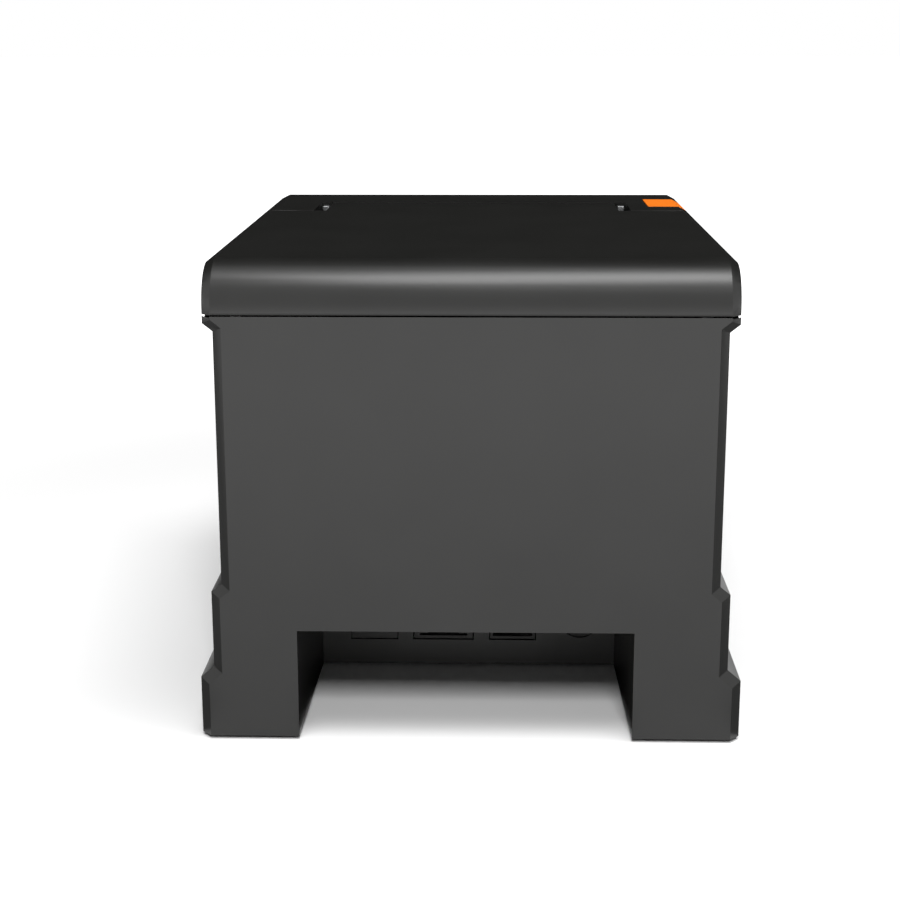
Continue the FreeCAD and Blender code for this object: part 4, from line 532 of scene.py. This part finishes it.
@dataclass
class Controls:
    """Boards, button, lights and power switch."""

    shop: Workshop
    groups: Groups = ((BOARD_MASK, 0.0, ("main_board", "control_board")),
                      (SOCKET_PBT, 0.2, ("buzzer", "power_switch_body")),
                      (INNER_PP, 0.4, ("feed_button",)),
                      (LIGHT_ACRYLIC, 0.2, ("light_pipes",)),
                      (SOCKET_PBT, 0.3, ("power_rocker",)))

    def build(self) -> None:
        """Dress the controls and the boards."""
        self.shop.dress(self.groups)


@dataclass(frozen=True)
class Lamp:
    """A soft rectangular lamp, placed in metres."""

    name: str
    place: tuple[float, float, float]
    target: tuple[float, float, float]
    size: tuple[float, float]
    power_w: float
    reflected: bool = True

    def hang(self) -> None:
        """Hang the lamp, pointing at its target."""
        data = bpy.data.lights.new(self.name, "AREA")
        data.shape = "RECTANGLE"
        data.size, data.size_y = self.size
        data.energy = self.power_w
        obj = bpy.data.objects.new(self.name, data)
        bpy.context.scene.collection.objects.link(obj)
        way = Vector(self.target) - Vector(self.place)
        turn = way.to_track_quat("-Z", "Y").to_matrix().to_4x4()
        obj.matrix_world = Matrix.Translation(self.place) @ turn
        obj.visible_glossy = self.reflected


@dataclass
class Studio:
    """White floor, soft lamps and the camera at the photograph's place."""

    image_px: int = 900
    focal_px: float = 1711.7
    sensor_mm: float = 36.0
    camera_mm: tuple[float, float, float] = (-6.41, 518.78, 188.22)
    heading_deg: float = 181.545
    pitch_deg: float = 14.048
    roll_deg: float = -0.102
    floor_m: float = 9.0
    floor_colour: str = "#F8F8F8"
    fade_m: tuple[float, float] = (0.22, 0.68)
    ambient: float = 0.2
    clip_m: float = 30.0
    # Colours of the flags, sheets seen only in reflections: these colours are painted dark reflections
    black: str = "#080808"
    grey: str = "#707070"
    # Flags that paint dark reflections: a sheet far ahead for the top, floor sheets beside the case for the
    # chamfers, floor sheets in the bay for its walls
    front_flag_m: tuple[float, float, float, float] = (4.0, -1.4, 0.005, 4.5)
    side_flag_m: tuple[tuple[float, float], ...] = (
        (0.0735, 0.04), (0.85, -0.3), (0.85, 0.2), (0.0735, 0.115))
    bay_flags_m: tuple[tuple[str, float, float], ...] = (("left", 0.045, 0.025), ("right", -0.0426, -0.0226))
    bay_flag_reach_m: tuple[float, float] = (0.036, 0.11)
    flag_lift_m: float = 0.001
    lamps: tuple[Lamp, ...] = (
        Lamp("overhead_softbox", (-0.13, 0.3, 1.15), (0.0, 0.08, 0.1), (1.02, 0.46), 12.6),
        Lamp("rear_fill", (-0.05, 1.1, 0.92), (0.0, 0.05, 0.05), (0.3, 0.3), 10.5, reflected=False))

    def camera(self) -> None:
        """Place the camera."""
        data = bpy.data.cameras.new("photo_camera")
        data.sensor_width = self.sensor_mm
        data.lens = self.focal_px / self.image_px * self.sensor_mm
        data.clip_end = self.clip_m
        obj = bpy.data.objects.new("photo_camera", data)
        bpy.context.scene.collection.objects.link(obj)
        turn = Euler((math.radians(90 - self.pitch_deg), 0, math.radians(self.heading_deg))).to_matrix()
        turn = turn @ Matrix.Rotation(math.radians(self.roll_deg), 3, "Z")
        obj.matrix_world = Matrix.Translation(Vector(self.camera_mm) * MM) @ turn.to_4x4()
        bpy.context.scene.camera = obj

    def shown(self, tree: bpy.types.NodeTree) -> bpy.types.NodeSocket:
        """Tell the rays that show the surround from those that light with it.

        Args:
            tree: Node tree that asks.

        Returns:
            A socket that is one for camera, glossy and transmission rays.
        """
        path = add(tree, "ShaderNodeLightPath").outputs
        seen = add(tree, "ShaderNodeMath", links={0: path["Is Camera Ray"], 1: path["Is Glossy Ray"]},
                   operation="MAXIMUM")
        seen = add(tree, "ShaderNodeMath", links={0: seen.outputs[0], 1: path["Is Transmission Ray"]},
                   operation="MAXIMUM")
        return seen.outputs[0]

    def world(self) -> None:
        """Set an even pale surround that shows white to the camera and in reflections."""
        world = bpy.data.worlds.new("studio")
        world.use_nodes = True
        tree = world.node_tree
        tree.nodes.clear()
        output = add(tree, "ShaderNodeOutputWorld")
        dim = add(tree, "ShaderNodeBackground", {"Color": (1, 1, 1, 1), "Strength": self.ambient})
        white = add(tree, "ShaderNodeBackground", {"Color": (1, 1, 1, 1), "Strength": 1.0})
        mix = add(tree, "ShaderNodeMixShader",
                  links={0: self.shown(tree), 1: dim.outputs[0], 2: white.outputs[0]})
        tree.links.new(mix.outputs[0], output.inputs["Surface"])
        bpy.context.scene.world = world

    def sheet(self, name: str, material: bpy.types.Material, corners: list[tuple]) -> bpy.types.Object:
        """Add a flat sheet of the studio.

        Args:
            name: Name of the sheet.
            material: Its material.
            corners: Its four corners in metres.

        Returns:
            The sheet.
        """
        mesh = bpy.data.meshes.new(name)
        mesh.from_pydata(corners, [], [(0, 1, 2, 3)])
        mesh.materials.append(material)
        obj = bpy.data.objects.new(name, mesh)
        bpy.context.scene.collection.objects.link(obj)
        return obj

    def floor(self) -> None:
        """Lay the white floor, which keeps the object's shadow and fades into the white surround."""
        material, tree, output = blank_material("studio_floor_white")
        place = add(tree, "ShaderNodeTexCoord").outputs["Object"]
        reach = add(tree, "ShaderNodeVectorMath", links={0: place}, operation="LENGTH")
        far = add(tree, "ShaderNodeMapRange", {"From Min": self.fade_m[0], "From Max": self.fade_m[1]},
                  {"Value": reach.outputs["Value"]}, interpolation_type="SMOOTHSTEP")
        glow = add(tree, "ShaderNodeMath", links={0: far.outputs["Result"], 1: self.shown(tree)},
                   operation="MULTIPLY")
        matte = add(tree, "ShaderNodeBsdfDiffuse", {"Color": linear(self.floor_colour)})
        light = add(tree, "ShaderNodeEmission", {"Color": (1, 1, 1, 1)}, {"Strength": glow.outputs[0]})
        both = add(tree, "ShaderNodeAddShader", links={0: matte.outputs[0], 1: light.outputs[0]})
        tree.links.new(both.outputs[0], output.inputs["Surface"])
        half = self.floor_m
        self.sheet("studio_floor", material,
                   [(-half, -half, 0), (half, -half, 0), (half, half, 0), (-half, half, 0)])

    def matte(self, name: str, colour: str) -> bpy.types.Material:
        """Make a plain matt material for a flag.

        Args:
            name: Name of the material.
            colour: Its hex colour.

        Returns:
            The material.
        """
        material, tree, output = blank_material(name)
        surface = add(tree, "ShaderNodeBsdfDiffuse", {"Color": linear(colour)})
        tree.links.new(surface.outputs[0], output.inputs["Surface"])
        return material

    def flag(self, name: str, material: bpy.types.Material, corners: list[tuple]) -> None:
        """Set up a flag that only reflections show: a sheet of painted dark reflection, unseen by the camera
        and casting no shadow.

        Args:
            name: Name of the flag.
            material: Its material.
            corners: Its four corners in metres.
        """
        sheet = self.sheet(name, material, corners)
        sheet.visible_camera = False
        sheet.visible_diffuse = False
        sheet.visible_transmission = False
        sheet.visible_shadow = False

    def flags(self) -> None:
        """Set up the flags, whose painted dark reflections keep the top, the corner chamfers and the bay's
        walls dark.
        """
        black = self.matte("studio_flag_black", self.black)
        grey = self.matte("studio_flag_grey", self.grey)
        wide, ahead, low, high = self.front_flag_m
        self.flag("studio_flag_front", black, [
            (-wide, ahead, low), (wide, ahead, low), (wide, ahead, high), (-wide, ahead, high)])
        lift = self.flag_lift_m
        for name, side in (("left", 1), ("right", -1)):
            self.flag("studio_flag_" + name, grey, [(side * x, y, lift) for x, y in self.side_flag_m])
        # Black sheets on the bay floor, where there is only shade, paint dark reflections into the bay's walls
        inner_y, outer_y = self.bay_flag_reach_m
        for name, wall, inner in self.bay_flags_m:
            self.flag("studio_flag_bay_" + name, black, [
                (wall, inner_y, lift), (inner, inner_y, lift), (inner, outer_y, lift), (wall, outer_y, lift)])

    def build(self) -> None:
        """Set up the whole studio."""
        self.camera()
        self.world()
        self.floor()
        self.flags()
        for lamp in self.lamps:
            lamp.hang()
        bpy.context.scene.view_settings.view_transform = "Standard"


def main() -> None:
    """Dress the printer and set up the studio."""
    logging.basicConfig(level=logging.INFO, format="%(name)s %(message)s")
    shop = Workshop()
    for assembly in (Casing(shop), Ports(shop), Mechanism(shop), Controls(shop)):
        assembly.build()
        LOG.info("%s done", type(assembly).__name__)
    Studio().build()


if __name__ == "__main__":
    main()
